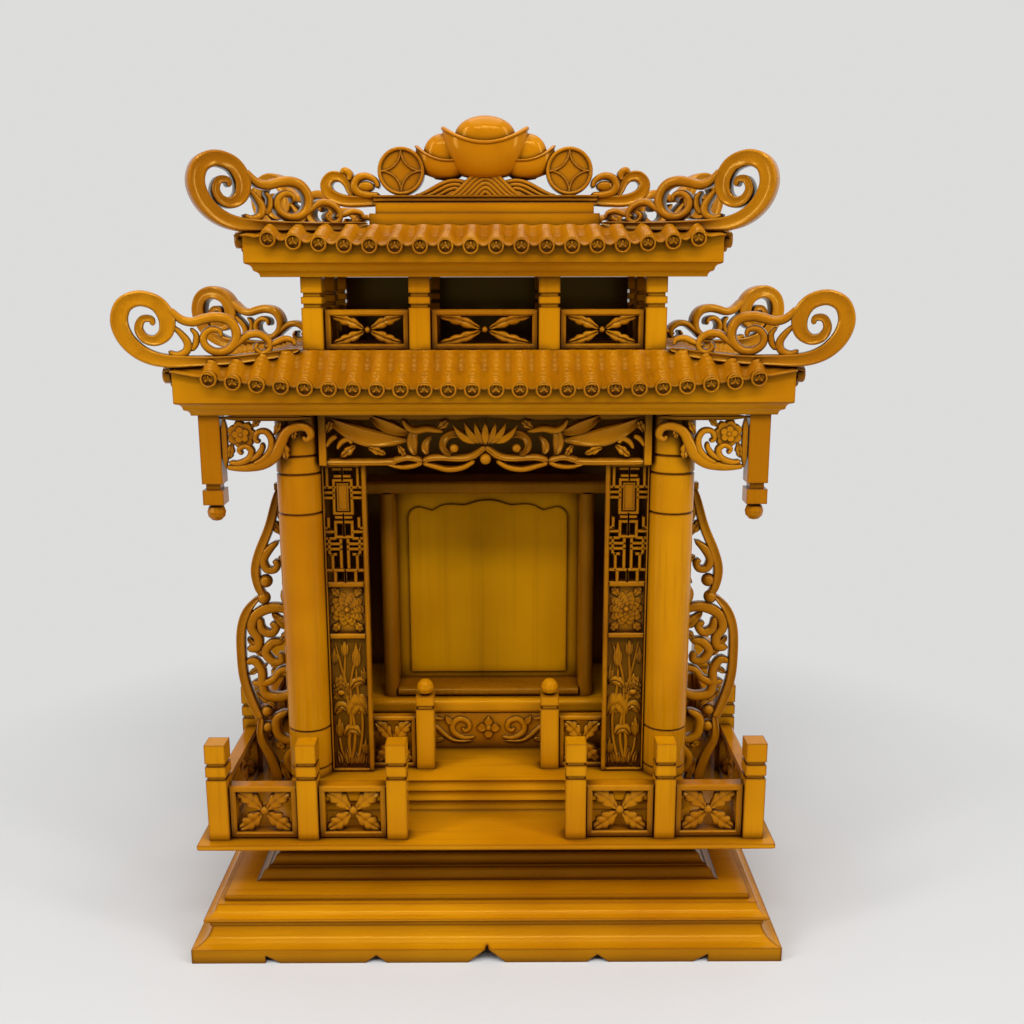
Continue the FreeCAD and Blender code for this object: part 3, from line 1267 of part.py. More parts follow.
def crest_clouds():
    """Strip of the crest with cloud scrolls at its ends and wave mounds in the middle."""
    top = CREST_STRIP_HEIGHT
    reach = CREST_HALF_WIDTH
    faces = [rectangle(-reach * 0.86, reach * 0.86, 0, top)]
    for sign in (-1, 1):
        end = spiral((reach - 14, 18), 10.5, 3.5, -30, 330, 9)
        tail = bezier((reach * 0.84, top / 2), (reach * 0.92, top / 2 - 1), (reach * 0.95, top * 0.7), end[0], 4)
        faces.append(strap([(sign * x, z) for x, z in tail], top, 5.0))
        faces.append(strap([(sign * x, z) for x, z in end], 5.0, 4.0))
        near = spiral((reach - 35, 16.5), 9.0, 3.0, -60, 300, 10)
        faces.append(strap([(sign * x, z) for x, z in near], 4.5, 3.5))
        faces.append(leaf(sign * (reach - 48), top - 1, 16, 7, 90 - sign * 50))
        faces.append(mound(sign * 33, top, 22, 7.0))
    faces.append(mound(0, top, 24, 13.4))
    return faces


def mound(x, z, half_width, height, steps=8):
    """Wave mound: the upper half of a flat ellipse."""
    points = [(x + half_width, z - 1)]
    for i in range(steps + 1):
        angle = math.pi * i / steps
        points.append((x + half_width * math.cos(angle), z + height * math.sin(angle)))
    points.append((x - half_width, z - 1))
    return face_of(points)


def crest():
    """Carved crest board that stands along the ridge."""
    carved = board(crest_clouds(), -CREST_THICKNESS / 2, CREST_THICKNESS)
    carved.translate(V(0, 0, CREST_Z))
    return carved


def coin():
    """Round coin with a raised rim and a four-pointed star between its crossing arcs."""
    z = CREST_Z + CREST_STRIP_HEIGHT + COIN_RADIUS
    body = disc(COIN_X, z, COIN_RADIUS, 28)
    inner = disc(COIN_X, z, COIN_RADIUS - COIN_RIM, 28)
    solid = board([body], -COIN_THICKNESS / 2, COIN_THICKNESS)
    pocket = board([inner], -COIN_THICKNESS / 2, 1.6)
    star = []
    reach = COIN_RADIUS - COIN_RIM
    for i in range(4):
        centre_angle = math.radians(45 + 90 * i)
        centre = (COIN_X + reach * 1.414 * math.cos(centre_angle), z + reach * 1.414 * math.sin(centre_angle))
        star.extend(spiral(centre, reach, reach, 225 + 90 * i + 45, 225 + 90 * i - 45, 6)[:-1])
    raised = board([face_of(star)], -COIN_THICKNESS / 2 + 0.4, 1.6)
    carved = solid.cut(pocket)
    return fuse([carved, raised])


def section_at(outline, y, scale, z_shift):
    """One upright section of an ingot at depth y."""
    return [V(x * scale, y, z * scale + z_shift) for x, z in outline]


def ingot():
    """Boat-shaped ingot: a bowl with upturned ends round a domed middle, lofted through upright sections."""
    half = INGOT_HALF_WIDTH
    height = INGOT_HEIGHT
    bowl = []
    for i in range(11):
        angle = math.pi + math.pi * i / 10
        bowl.append((half * math.cos(angle), height * (1 + math.sin(angle))))
    rim = []
    for i in range(1, 8):
        along = 1 - 2 * i / 8
        rim.append((half * along, height * (0.62 + 0.38 * along * along)))
    outline = bowl + rim
    sections = []
    for share, scale in ((-1.0, 0.55), (-0.72, 0.83), (-0.3, 0.98), (0.3, 0.98), (0.72, 0.83), (1.0, 0.55)):
        sections.append(section_at(outline, share * INGOT_DEPTH / 2, scale, height * (1 - scale) * 0.75))
    body = skin(sections)
    rings = []
    foot = height * 0.5
    rise = height + INGOT_DOME_RISE - foot
    for share in (0.0, 0.35, 0.62, 0.85, 0.97):
        radius = INGOT_DOME_HALF_WIDTH * math.sqrt(1 - share * share)
        rings.append(ellipse_ring(0, 0, foot + rise * share, radius, radius * 0.72, 16))
    return fuse([body, skin(rings)])


def ingots(crest_board, coins):
    """A large ingot in the middle and a smaller one leaning out on each side, seated in the crest's waves."""
    seat = CREST_Z + INGOT_SEAT
    centre = ingot()
    centre.translate(V(0, 0, seat))
    centre = largest(centre.cut(crest_board))
    side = ingot()
    side.scale(SIDE_INGOT_SCALE)
    side.rotate(V(0, 0, 0), V(0, 1, 0), SIDE_INGOT_TILT)
    side.translate(V(SIDE_INGOT_X, 0, seat))
    export("ingot_middle", [centre])
    cut = largest(side.cut([centre, crest_board] + coins))
    export("ingots_side", both_sides(cut))


def build():
    os.makedirs("parts", exist_ok=True)
    base_plinth()
    export("base_step", [base_step()])
    export("waist_moulding", [waist()])
    export("deck_board", [deck_board()])
    balustrade()
    export("platform", [platform()])
    export("column_right", [column(COLUMN_X)])
    export("column_left", [column(-COLUMN_X)])
    right_screen = screen()
    export("screen_right", [right_screen])
    export("screen_left", [mirror_x(right_screen)])
    inner_balustrade()
    altar_shelf()
    tablet()
    room_walls()
    export("carved_header", [header()])
    front_pendant = pendant(PENDANT_X, PENDANT_Y)
    export("pendants", both_sides(front_pendant))
    export("corner_brackets", both_sides(largest(bracket().cut(front_pendant))))
    right_wing = wing()
    export("wing_right", [right_wing])
    export("wing_left", [mirror_x(right_wing)])
    lower_roof()
    upper_storey()
    upper_roof()
    export("ridge_base", [ridge_base()])
    crest_board = crest()
    coins = both_sides(coin())
    export("ridge_crest", [crest_board])
    export("ridge_coins", coins)
    ingots(crest_board, coins)


build()
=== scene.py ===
# %% [markdown]
# # A carved and lacquered tablet shrine
# This lesson dresses a shrine whose boards, posts and roofs already exist as plain solids.
# Those solids are loaded as a fixed frame. What the plain solids lack, such as tiles, scrolls,
# leaves and the lacquer itself, is made here and laid on the frame. Sizes are in metres in the
# meshes and in millimetres in the tables of numbers, because a carver thinks in millimetres.

# %% Load the frame
import math
import bpy
import numpy as np
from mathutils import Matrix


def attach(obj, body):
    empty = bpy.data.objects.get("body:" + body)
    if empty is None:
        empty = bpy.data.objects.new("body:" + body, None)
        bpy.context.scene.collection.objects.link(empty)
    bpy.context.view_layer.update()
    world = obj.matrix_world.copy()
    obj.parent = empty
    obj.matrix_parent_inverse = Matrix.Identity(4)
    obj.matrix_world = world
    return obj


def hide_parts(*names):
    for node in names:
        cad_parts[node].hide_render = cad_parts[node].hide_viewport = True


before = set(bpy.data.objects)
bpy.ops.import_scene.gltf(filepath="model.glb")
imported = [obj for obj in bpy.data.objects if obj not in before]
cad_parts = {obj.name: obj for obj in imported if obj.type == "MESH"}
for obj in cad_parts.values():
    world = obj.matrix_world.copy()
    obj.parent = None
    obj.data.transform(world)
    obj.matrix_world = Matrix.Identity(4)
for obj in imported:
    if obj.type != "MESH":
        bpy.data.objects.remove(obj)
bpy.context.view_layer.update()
MM = 0.001
print("pieces in the frame:", len(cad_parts))

# %% [markdown]
# ## The viewpoint
# The shrine was photographed from a little above its middle, straight from the front.
# A camera is a point, a direction and a lens. Here the lens is 38.7 mm on a 36 mm sensor and the
# camera looks down by about 12.4 degrees.

# %% Camera
CAMERA_PLACE = (0.01715, -0.9461, 0.5511)
CAMERA_PITCH = 0.2169
CAMERA_YAW = 0.005
CAMERA_ROLL = 0.0014
SENSOR_WIDTH = 36.0
LENS_PER_SENSOR = 1100.0 / 1024.0
camera_data = bpy.data.cameras.new("camera")
camera_data.lens = SENSOR_WIDTH * LENS_PER_SENSOR
camera_data.sensor_width = SENSOR_WIDTH
camera = bpy.data.objects.new("camera", camera_data)
bpy.context.scene.collection.objects.link(camera)
camera.location = CAMERA_PLACE
camera.rotation_euler = (math.pi / 2 - CAMERA_PITCH, CAMERA_ROLL, -CAMERA_YAW)
bpy.context.scene.camera = camera
print("camera", CAMERA_PLACE, "lens", round(camera_data.lens, 2), "mm")

# %% [markdown]
# ## Studio light and floor
# Glossy lacquer shows its surroundings, so the lamps are wide panels whose soft reflections run
# along the columns and rails. The floor and the backdrop are one pale sweep. What the camera sees
# of the world is a plain pale grey, set apart from the light that reaches the wood.

# %% Studio world
scene = bpy.context.scene
scene.view_settings.view_transform = "Standard"
WORLD_LIGHT = (0.94, 0.92, 0.90, 1.0)
WORLD_STRENGTH = 0.14
BACKDROP = (0.722, 0.720, 0.715, 1.0)


def node(tree, kind, **values):
    """One shader node; a keyword fills the socket of that name (spaces as underscores), or an attribute."""
    made = tree.nodes.new("ShaderNode" + kind)
    for key, value in values.items():
        socket = key.replace("_", " ")
        if socket in made.inputs:
            made.inputs[socket].default_value = value
        else:
            setattr(made, key, value)
    return made


def straight_rays(tree):
    """Socket that is 1 for rays from the camera, a mirror or glass: camera + glossy + transmission."""
    rays = node(tree, "LightPath")
    total = rays.outputs["Is Camera Ray"]
    for kind in ("Is Glossy Ray", "Is Transmission Ray"):
        add = node(tree, "Math", operation="ADD", use_clamp=True)
        tree.links.new(total, add.inputs[0])
        tree.links.new(rays.outputs[kind], add.inputs[1])
        total = add.outputs["Value"]
    return total


world = bpy.data.worlds.new("studio")
scene.world = world
world.use_nodes = True
tree = world.node_tree
tree.nodes.clear()
light = node(tree, "Background", Color=WORLD_LIGHT, Strength=WORLD_STRENGTH)
seen = node(tree, "Background", Color=BACKDROP)
choose = node(tree, "MixShader")
output = node(tree, "OutputWorld")
tree.links.new(straight_rays(tree), choose.inputs["Fac"])
tree.links.new(light.outputs["Background"], choose.inputs[1])
tree.links.new(seen.outputs["Background"], choose.inputs[2])
tree.links.new(choose.outputs["Shader"], output.inputs["Surface"])
print("world light", WORLD_STRENGTH, "and a backdrop of tone", BACKDROP[:3])

# %% Lamps
LIGHT_TARGET = (0.0, 0.0, 0.33)


def add_lamp(name, place, width, height, power):
    """Rectangular lamp at a place, turned towards the shrine: its axis is the line to the target."""
    data = bpy.data.lights.new(name, "AREA")
    data.shape = "RECTANGLE"
    data.size = width
    data.size_y = height
    data.energy = power
    lamp = bpy.data.objects.new(name, data)
    scene.collection.objects.link(lamp)
    lamp.location = place
    direction = np.array(LIGHT_TARGET) - np.array(place)
    tilt = math.atan2(math.hypot(direction[0], direction[1]), -direction[2])
    heading = math.atan2(direction[1], direction[0]) - math.pi / 2
    lamp.rotation_euler = (tilt, 0.0, heading)
    print("lamp", name, "power", power)


add_lamp("lamp_left", (-1.4, -1.0, 1.2), 0.30, 1.6, 17.0)
add_lamp("lamp_right", (1.4, -0.9, 1.2), 0.30, 1.6, 15.0)
add_lamp("lamp_front", (0.1, -1.6, 2.1), 2.0, 0.35, 28.0)
add_lamp("lamp_top", (0.0, 0.0, 2.1), 1.8, 1.4, 20.0)

# %% Floor
FLOOR_REACH = 6.0
floor_corners = [(sx * FLOOR_REACH, sy * FLOOR_REACH, 0) for sx, sy in ((-1, -1), (1, -1), (1, 1), (-1, 1))]
floor_mesh = bpy.data.meshes.new("floor")
floor_mesh.from_pydata(floor_corners, [], [(0, 1, 2, 3)])
floor = bpy.data.objects.new("floor", floor_mesh)
scene.collection.objects.link(floor)
print("floor of", 2 * FLOOR_REACH, "m")

# %% [markdown]
# ## Lacquer
# The maker sprays honey lacquer over pale wood, then shades edges with a darker amber before the
# gloss coat. Three things give the look here: a slow drift of tone along the grain, a browner tone
# near sharp edges, and painted shade, a darker tone where a surface is crowded by its neighbours.
# Crowding is measured with an ambient-occlusion node. An edge is found by comparing the true
# normal with one that is rounded off over a few millimetres. A second, wider measure of crowding
# paints the shade that falls under the eaves and other overhangs into the colour.
# The walls of the room are dark inside and honey outside: a face is outside where its normal points
# away from the middle, that is where normal . place is above 0.

# %% Mixing tones
def blend_colour(tree, factor, first, second):
    """Mix node: first where the factor is 0, second where it is 1."""
    mix = node(tree, "Mix", data_type="RGBA")
    tree.links.new(factor, mix.inputs["Factor"])
    for socket, value in ((mix.inputs[6], first), (mix.inputs[7], second)):
        if isinstance(value, tuple):
            socket.default_value = (*value, 1.0)
        else:
            tree.links.new(value, socket)
    return mix.outputs[2]


def ramp(tree, value, low, high):
    """Straight ramp: 0 at low, 1 at high, held outside."""
    made = node(tree, "MapRange", From_Min=low, From_Max=high)
    tree.links.new(value, made.inputs["Value"])
    return made.outputs["Result"]


def dot(tree, first, second):
    """Dot product of two vector sockets."""
    product = node(tree, "VectorMath", operation="DOT_PRODUCT")
    tree.links.new(first, product.inputs[0])
    tree.links.new(second, product.inputs[1])
    return product.outputs["Value"]


print("tones are mixed by", blend_colour.__name__, "and", ramp.__name__)

# %% The layers of one lacquer
EDGE_BROWN = (0.230, 0.062, 0.003)
# The next colour is painted shade, laid into recesses and under the eaves.
PAINTED_SHADE_BROWN = (0.040, 0.009, 0.002)
SHEEN_GOLD = (1.0, 0.62, 0.12, 1.0)
DRIFT_SCALE = 9.0
DRIFT_SPAN = (0.36, 0.68)
PORE_SPAN = (0.52, 0.95)
PORE_SHARE = 0.78
OUTSIDE_SPAN = (0.0, 0.001)
EDGE_START = 0.995
EDGE_FALL = 0.30
# The span below ramps the painted shade under the eaves and other overhangs.
EAVE_SHADE_SPAN = (0.85, 0.15)
EDGE_SOFTNESS = 0.0007
RIPPLE_SCALE = 420.0
RIPPLE_HEIGHT = 0.0006
RIPPLE_SHARE = 0.035
GLOSS_INDEX = 1.40


def wood_tone(tree, place, golden, honey, grain, outside):
    """From golden to honey by a slow noise, the outside tone where normal . place is above 0, and a darker
    honey in the pores, a fine noise stretched along the grain."""
    stretch = node(tree, "Mapping", Scale=grain)
    tree.links.new(place.outputs["Object"], stretch.inputs["Vector"])
    pores = node(tree, "TexNoise", Scale=1.0, Detail=5.0, Roughness=0.6)
    tree.links.new(stretch.outputs["Vector"], pores.inputs["Vector"])
    drift = node(tree, "TexNoise", Scale=DRIFT_SCALE, Detail=2.0)
    tree.links.new(place.outputs["Object"], drift.inputs["Vector"])
    tone = blend_colour(tree, ramp(tree, drift.outputs["Fac"], *DRIFT_SPAN), golden, honey)
    if outside:
        away = dot(tree, place.outputs["Normal"], place.outputs["Object"])
        tone = blend_colour(tree, ramp(tree, away, *OUTSIDE_SPAN), tone, outside)
    dark = tuple(c * PORE_SHARE for c in honey)
    return blend_colour(tree, ramp(tree, pores.outputs["Fac"], *PORE_SPAN), tone, dark)


def brown_edges(tree, tone, radius, share):
    """Browner near an edge: true normal . rounded normal runs from 0.995 down to 0.995 - 0.30 / share."""
    rounded = node(tree, "Bevel", samples=6, Radius=radius)
    true = node(tree, "NewGeometry")
    match = dot(tree, rounded.outputs["Normal"], true.outputs["Normal"])
    near_edge = ramp(tree, match, EDGE_START, EDGE_START - EDGE_FALL / share)
    return blend_colour(tree, near_edge, tone, EDGE_BROWN)


def paint_shade(tree, tone, reach, open_at, shut_at, strength=1.0):
    """Painted shade, darker where it is crowded: strength * ramp of the open share of the sky, from open_at
    to shut_at.
    """
    sky = node(tree, "AmbientOcclusion", samples=8, Distance=reach)
    deep = node(tree, "Math", operation="MULTIPLY")
    tree.links.new(ramp(tree, sky.outputs["AO"], open_at, shut_at), deep.inputs[0])
    deep.inputs[1].default_value = strength
    return blend_colour(tree, deep.outputs["Value"], tone, PAINTED_SHADE_BROWN)


def rippled_normal(tree, place):
    """Normal of the gloss coat: edges softened over 0.7 mm, and a ripple too fine to see as one."""
    soften = node(tree, "Bevel", samples=4, Radius=EDGE_SOFTNESS)
    ripple = node(tree, "TexNoise", Scale=RIPPLE_SCALE, Detail=1.0)
    tree.links.new(place.outputs["Object"], ripple.inputs["Vector"])
    bump = node(tree, "Bump", Strength=RIPPLE_SHARE, Distance=RIPPLE_HEIGHT)
    tree.links.new(ripple.outputs["Fac"], bump.inputs["Height"])
    tree.links.new(soften.outputs["Normal"], bump.inputs["Normal"])
    return bump.outputs["Normal"]


def lacquer(name, golden, honey, grain, gloss=0.17, near_shade_reach=0.010, edge=0.0035, edge_share=0.85, shade=0.0,
            shade_reach=0.045, open_at=0.86, shut_at=0.22, shine=0.40, outside=None):
    """Lacquered wood: the tone of the wood, browner at its edges, painted shade by near and far crowding,
    glossy.
    """
    material = bpy.data.materials.new(name)
    material.use_nodes = True
    tree = material.node_tree
    tree.nodes.clear()
    place = node(tree, "TexCoord")
    tone = wood_tone(tree, place, golden, honey, grain, outside)
    tone = brown_edges(tree, tone, edge, edge_share)
    # Painted shade: near crowding in recesses, then, where shade is set, wide crowding under the eaves.
    tone = paint_shade(tree, tone, near_shade_reach, open_at, shut_at)
    if shade:
        tone = paint_shade(tree, tone, shade_reach, *EAVE_SHADE_SPAN, shade)
    surface = node(tree, "BsdfPrincipled", Roughness=gloss, IOR=GLOSS_INDEX, Specular_Tint=SHEEN_GOLD,
                   Specular_IOR_Level=shine)
    tree.links.new(tone, surface.inputs["Base Color"])
    tree.links.new(rippled_normal(tree, place), surface.inputs["Normal"])
    out = node(tree, "OutputMaterial")
    tree.links.new(surface.outputs["BSDF"], out.inputs["Surface"])
    print("material", name)
    return material


# %% The lacquers, each as two tones and the run of its grain
GOLDEN = (0.600, 0.245, 0.002)
HONEY = (0.470, 0.168, 0.001)
GRAIN_X = (9.0, 240.0, 240.0)
GRAIN_Z = (240.0, 240.0, 9.0)
GRAIN_BRUSHED = (160.0, 160.0, 3.0)
GRAIN_CARVED = (60.0, 60.0, 60.0)
GRAIN_FINE = (80.0, 80.0, 80.0)
# Every lacquer takes painted shade in its recesses; where shade is set, also under the eaves.
honey_x = lacquer("honey_lacquer_x", GOLDEN, HONEY, GRAIN_X, shade=0.85)
honey_z = lacquer("honey_lacquer_z", GOLDEN, HONEY, GRAIN_Z, shade=0.6)
stile_z = lacquer("stile_lacquer", (0.270, 0.098, 0.002), (0.185, 0.060, 0.001), GRAIN_Z, gloss=0.14)
column_z = lacquer("column_lacquer", (0.560, 0.225, 0.002), (0.420, 0.140, 0.001), GRAIN_Z, gloss=0.13,
                   shade=0.9, shade_reach=0.03)
# The pendants take a darker copy of the honey lacquer: painted shade, as they hang in the shade of the eaves.
pendant_shaded_z = lacquer("pendant_shaded_lacquer", (0.400, 0.140, 0.001), (0.320, 0.098, 0.001), GRAIN_Z, gloss=0.16,
                    shade=0.6)
# The waist moulding takes the honey lacquer with the most painted shade, for the shade under the deck.
waist_shaded_x = lacquer("waist_shaded_lacquer", GOLDEN, HONEY, GRAIN_X, shade=1.0, shade_reach=0.07)
carving = lacquer("amber_carving_lacquer", (0.480, 0.180, 0.002), (0.330, 0.104, 0.001), GRAIN_CARVED,
                  gloss=0.16, near_shade_reach=0.014, edge=0.0010, edge_share=0.5, shade=0.5, shade_reach=0.035,
                  open_at=0.97, shut_at=0.44, shine=0.6)
# The screens take a darker copy of the carving lacquer: painted shade, as they stand in the shade of the
# roof.
relief = lacquer("screen_relief_shaded_lacquer", (0.400, 0.150, 0.001), (0.250, 0.078, 0.001), GRAIN_FINE,
                 gloss=0.16, near_shade_reach=0.006, edge=0.0010, edge_share=0.5, shade=0.4, shade_reach=0.03,
                 open_at=1.0, shut_at=0.52, shine=0.6)
# A near-black lacquer for a sheet that stands for the shade inside the upper storey.
shade_sheet_brown = lacquer("storey_shade_sheet_lacquer", (0.030, 0.010, 0.001), (0.018, 0.006, 0.001), GRAIN_X)
# The ground behind the lotus relief is much darker: painted shade between the carved parts.
ground_painted_shade = lacquer("relief_ground_shade_lacquer", (0.150, 0.056, 0.001), (0.090, 0.030, 0.001), GRAIN_Z,
                      near_shade_reach=0.008)
roof_gold = lacquer("roof_lacquer_tone", (0.520, 0.205, 0.002), (0.420, 0.145, 0.001), GRAIN_X, near_shade_reach=0.007,
                    edge=0.0018)
tile_gold = lacquer("tile_lacquer", (0.480, 0.178, 0.001), (0.350, 0.112, 0.001), GRAIN_CARVED, gloss=0.18,
                    near_shade_reach=0.007, edge=0.0012, edge_share=0.5, open_at=0.97, shut_at=0.40, shine=0.55)
tablet_gold = lacquer("tablet_lacquer_tone", (0.600, 0.270, 0.001), (0.490, 0.200, 0.001), GRAIN_BRUSHED,
                      gloss=0.34, near_shade_reach=0.02, edge=0.006, shine=0.25)
room_dark = lacquer("room_lacquer_tone", (0.170, 0.064, 0.006), (0.120, 0.042, 0.004), GRAIN_Z, near_shade_reach=0.02,
                    outside=(0.440, 0.160, 0.003))

# %% [markdown]
# ## The floor's finish
# The floor is the pale paper sweep of a studio. Near the shrine it is an ordinary matt surface, so it
# keeps the soft shadow. Further away it passes into the even tone of the backdrop, as a sweep that
# curves up behind the object does, and no horizon shows.

# %% Floor finish
PAPER_TONE = (0.66, 0.66, 0.66, 1.0)
SHADOW_REACH = 0.34
FADE_END = 0.72
paper = bpy.data.materials.new("floor_paper")
paper.use_nodes = True
tree = paper.node_tree
surface = tree.nodes["Principled BSDF"]
surface.inputs["Base Color"].default_value = PAPER_TONE
surface.inputs["Roughness"].default_value = 0.9
surface.inputs["Specular IOR Level"].default_value = 0.1
far = node(tree, "Emission", Strength=1.0, Color=BACKDROP)
place = node(tree, "TexCoord")
distance = node(tree, "VectorMath", operation="LENGTH")
tree.links.new(place.outputs["Object"], distance.inputs[0])
fade = node(tree, "Math", operation="MULTIPLY")
tree.links.new(ramp(tree, distance.outputs["Value"], SHADOW_REACH, FADE_END), fade.inputs[0])
tree.links.new(straight_rays(tree), fade.inputs[1])
mix = node(tree, "MixShader")
tree.links.new(fade.outputs["Value"], mix.inputs[0])
tree.links.new(surface.outputs["BSDF"], mix.inputs[1])
tree.links.new(far.outputs["Emission"], mix.inputs[2])
tree.links.new(mix.outputs["Shader"], tree.nodes["Material Output"].inputs["Surface"])
floor_mesh.materials.append(paper)
print("floor finish fades into the backdrop from", SHADOW_REACH, "to", FADE_END, "m")

# %% [markdown]
# ## Finishes for the boards and posts
# Each kind of board takes the lacquer whose grain runs along it, as a joiner would cut it.

# %% Dress the frame's own pieces
FINISHES = (
    (honey_z, "honey_lacquer", ("balustrade_posts", "tablet_rail_posts", "storey_posts")),
    (pendant_shaded_z, "honey_lacquer", ("pendants",)),
    (stile_z, "honey_lacquer", ("tablet_stiles", "tablet_rails")),
    (column_z, "honey_lacquer", ("column",)),
    (waist_shaded_x, "honey_lacquer", ("waist_moulding",)),
    (carving, "amber_carving", ("screen", "carved", "corner", "wing", "lower_vol", "upper_vol", "ridge_c",
                                "ingot", "altar_apron", "balustrade_panels", "tablet_rail_panels",
                                "storey_panels")),
    (roof_gold, "roof_lacquer", ("lower_roof", "upper_roof", "upper_eave")),
    (honey_x, "roof_lacquer", ("lower_eave", "ridge_base")),
    (tablet_gold, "tablet_lacquer", ("tablet_board",)),
    (room_dark, "room_lacquer", ("room_wall",)),
)
for name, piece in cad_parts.items():
    chosen, slot = honey_x, "honey_lacquer"
    for material, material_slot, starts in FINISHES:
        if name.startswith(starts):
            chosen, slot = material, material_slot
            break
    piece.data.materials.clear()
    piece.data.materials.append(chosen)
print("dressed", len(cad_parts), "pieces")

# %% [markdown]
# ## Surfaces from numbers
# A carver cuts a band by drawing its middle line and then rounding or hollowing its face. The same
# is done here. A line of points says where the band runs and how wide it is, and a section says how
# the face rises between the two edges. Every carving is a set of such closed bands and of bosses.
# The whole band is worked out at once as one array of points.

# %% Lines
def flow(points, steps=6):
    """Smooth line through rows of numbers: between two rows the Catmull-Rom cubic,
    (2b + (c-a)t + (2a-5b+4c-d)t^2 + (3b-a-3c+d)t^3) / 2 for four neighbours a, b, c, d."""
    p = np.array(points, float)
    ends = np.vstack([2 * p[0] - p[1], p, 2 * p[-1] - p[-2]])
    t = (np.arange(steps) / steps)[None, :, None]
    a, b, c, d = (ends[i:len(p) - 1 + i][:, None, :] for i in range(4))
    curve = 0.5 * (2 * b + (c - a) * t + (2 * a - 5 * b + 4 * c - d) * t**2 + (3 * b - a - 3 * c + d) * t**3)
    return np.vstack([curve.reshape(-1, p.shape[1]), p[-1:]])


def curl(centre, start_radius, end_radius, start_deg, end_deg, start_width, end_width, count=28, easing=1.0):
    """Rows (x, z, width) of a spiral: angle goes evenly, radius as share^easing, width evenly."""
    share = np.linspace(0, 1, count)
    radius = start_radius + (end_radius - start_radius) * share**easing
    angle = np.radians(start_deg + (end_deg - start_deg) * share)
    width = start_width + (end_width - start_width) * share
    return np.stack([centre[0] + radius * np.cos(angle), centre[1] + radius * np.sin(angle), width], 1)


def round_ends(rows, start=True, end=True):
    """Widths that close to a half circle at the ends: width * sqrt(1 - (1 - way/half width)^2)."""
    rows = rows.copy()
    steps = np.linalg.norm(np.diff(rows[:, :2], axis=0), axis=1)
    way = np.concatenate([[0], np.cumsum(steps)])
    for wanted, left in ((start, way), (end, way[-1] - way)):
        if wanted:
            share = np.clip(left / np.maximum(rows[:, 2] / 2, 1e-6), 0.02, 1)
            rows[:, 2] *= np.sqrt(1 - (1 - share)**2)
    return rows


print("a test line has", len(flow([(0, 0, 1), (10, 5, 1), (20, 0, 1)])), "points")

# %% Sections across a band: s runs along it from 0 to 1, u across it from -1 to 1
def crowned(s, u):
    """Round back: sqrt(1 - u^2)."""
    return np.sqrt(np.clip(1 - u**2, 0, 1)) + 0 * s


def hollowed(s, u):
    """Two raised rims with a hollow between them: (1 - u^8)(1 - 0.75 (1 - u^2)^1.5)."""
    return (1 - np.abs(u)**8) * (1 - 0.75 * np.clip(1 - u**2, 0, 1)**1.5) + 0 * s


def ridged(s, u):
    """Flat band with rounded edges and two fine grooves: (1 - u^6)(0.82 + 0.18 cos(3 pi u))."""
    return (1 - np.abs(u)**6) * (0.82 + 0.18 * np.cos(3 * np.pi * u)) + 0 * s


def veined(s, u):
    """Leaf: a round back, a sunk midrib exp(-(u/0.16)^2) and slanting veins cos(2 pi (6 s - 1.1 |u|))."""
    back = np.clip(1 - u**2, 0, 1)**0.6
    veins = np.cos(2 * np.pi * (6 * s - 1.1 * np.abs(u)))
    return back * (0.92 - 0.42 * np.exp(-(u / 0.16)**2) + 0.10 * veins)


def cupped(s, u):
    """Petal: raised edges round a hollow that deepens towards the root: (1 - u^6)(0.45 + 0.55 u^2)."""
    return (1 - np.abs(u)**6) * (0.45 + 0.25 * s + (0.55 - 0.25 * s) * u**2)


print("sections at the middle:", [round(float(f(np.array(0.5), np.array(0.0))), 2) for f in
                                  (crowned, hollowed, ridged, veined, cupped)])

# %% Closed parts: points, quads and triangles
def ring_quads(rings, count, closed=False):
    """Quads between neighbouring rings of points; every ring closes on itself."""
    i, j = np.meshgrid(np.arange(rings if closed else rings - 1), np.arange(count), indexing="ij")
    k, after = (i + 1) % rings, (j + 1) % count
    return np.stack([i * count + j, i * count + after, k * count + after, k * count + j], -1).reshape(-1, 4)


def outward(points, quads, tris):
    """The same part with its faces pointing out: all are turned round if the enclosed volume is negative."""
    a, b, c, d = (points[quads[:, i]] for i in range(4))
    volume = np.einsum("ij,ij->", a, np.cross(b, c)) + np.einsum("ij,ij->", a, np.cross(c, d))
    if len(tris):
        e, f, g = (points[tris[:, i]] for i in range(3))
        volume += np.einsum("ij,ij->", e, np.cross(f, g))
    if volume < 0:
        quads, tris = quads[:, ::-1], tris[:, ::-1]
    return points, quads, tris


def rings_part(rings):
    """Closed part from an array of rings (ring, point, xyz), with a fan of triangles at each end."""
    count_rings, count, _ = rings.shape
    points = np.vstack([rings.reshape(-1, 3), rings[0].mean(0), rings[-1].mean(0)])
    j = np.arange(count)
    after = (j + 1) % count
    last = (count_rings - 1) * count
    first_fan = np.stack([after, j, np.full(count, count_rings * count)], 1)
    last_fan = np.stack([last + j, last + after, np.full(count, count_rings * count + 1)], 1)
    return outward(points, ring_quads(count_rings, count), np.vstack([first_fan, last_fan]))


def faced(flat, relief, front, back, two_faced):
    """Rings round a strip of points (x, z): before it y = front - relief, and behind it the two edges at
    y = back, or, where both faces are carved, the whole strip at y = back + relief."""
    before = np.stack([flat[..., 0], front - relief, flat[..., 1]], -1)
    behind = np.stack([flat[..., 0], back + relief * two_faced, flat[..., 1]], -1)[:, ::-1]
    return rings_part(np.concatenate([before, behind if two_faced else behind[:, [0, -1]]], 1))


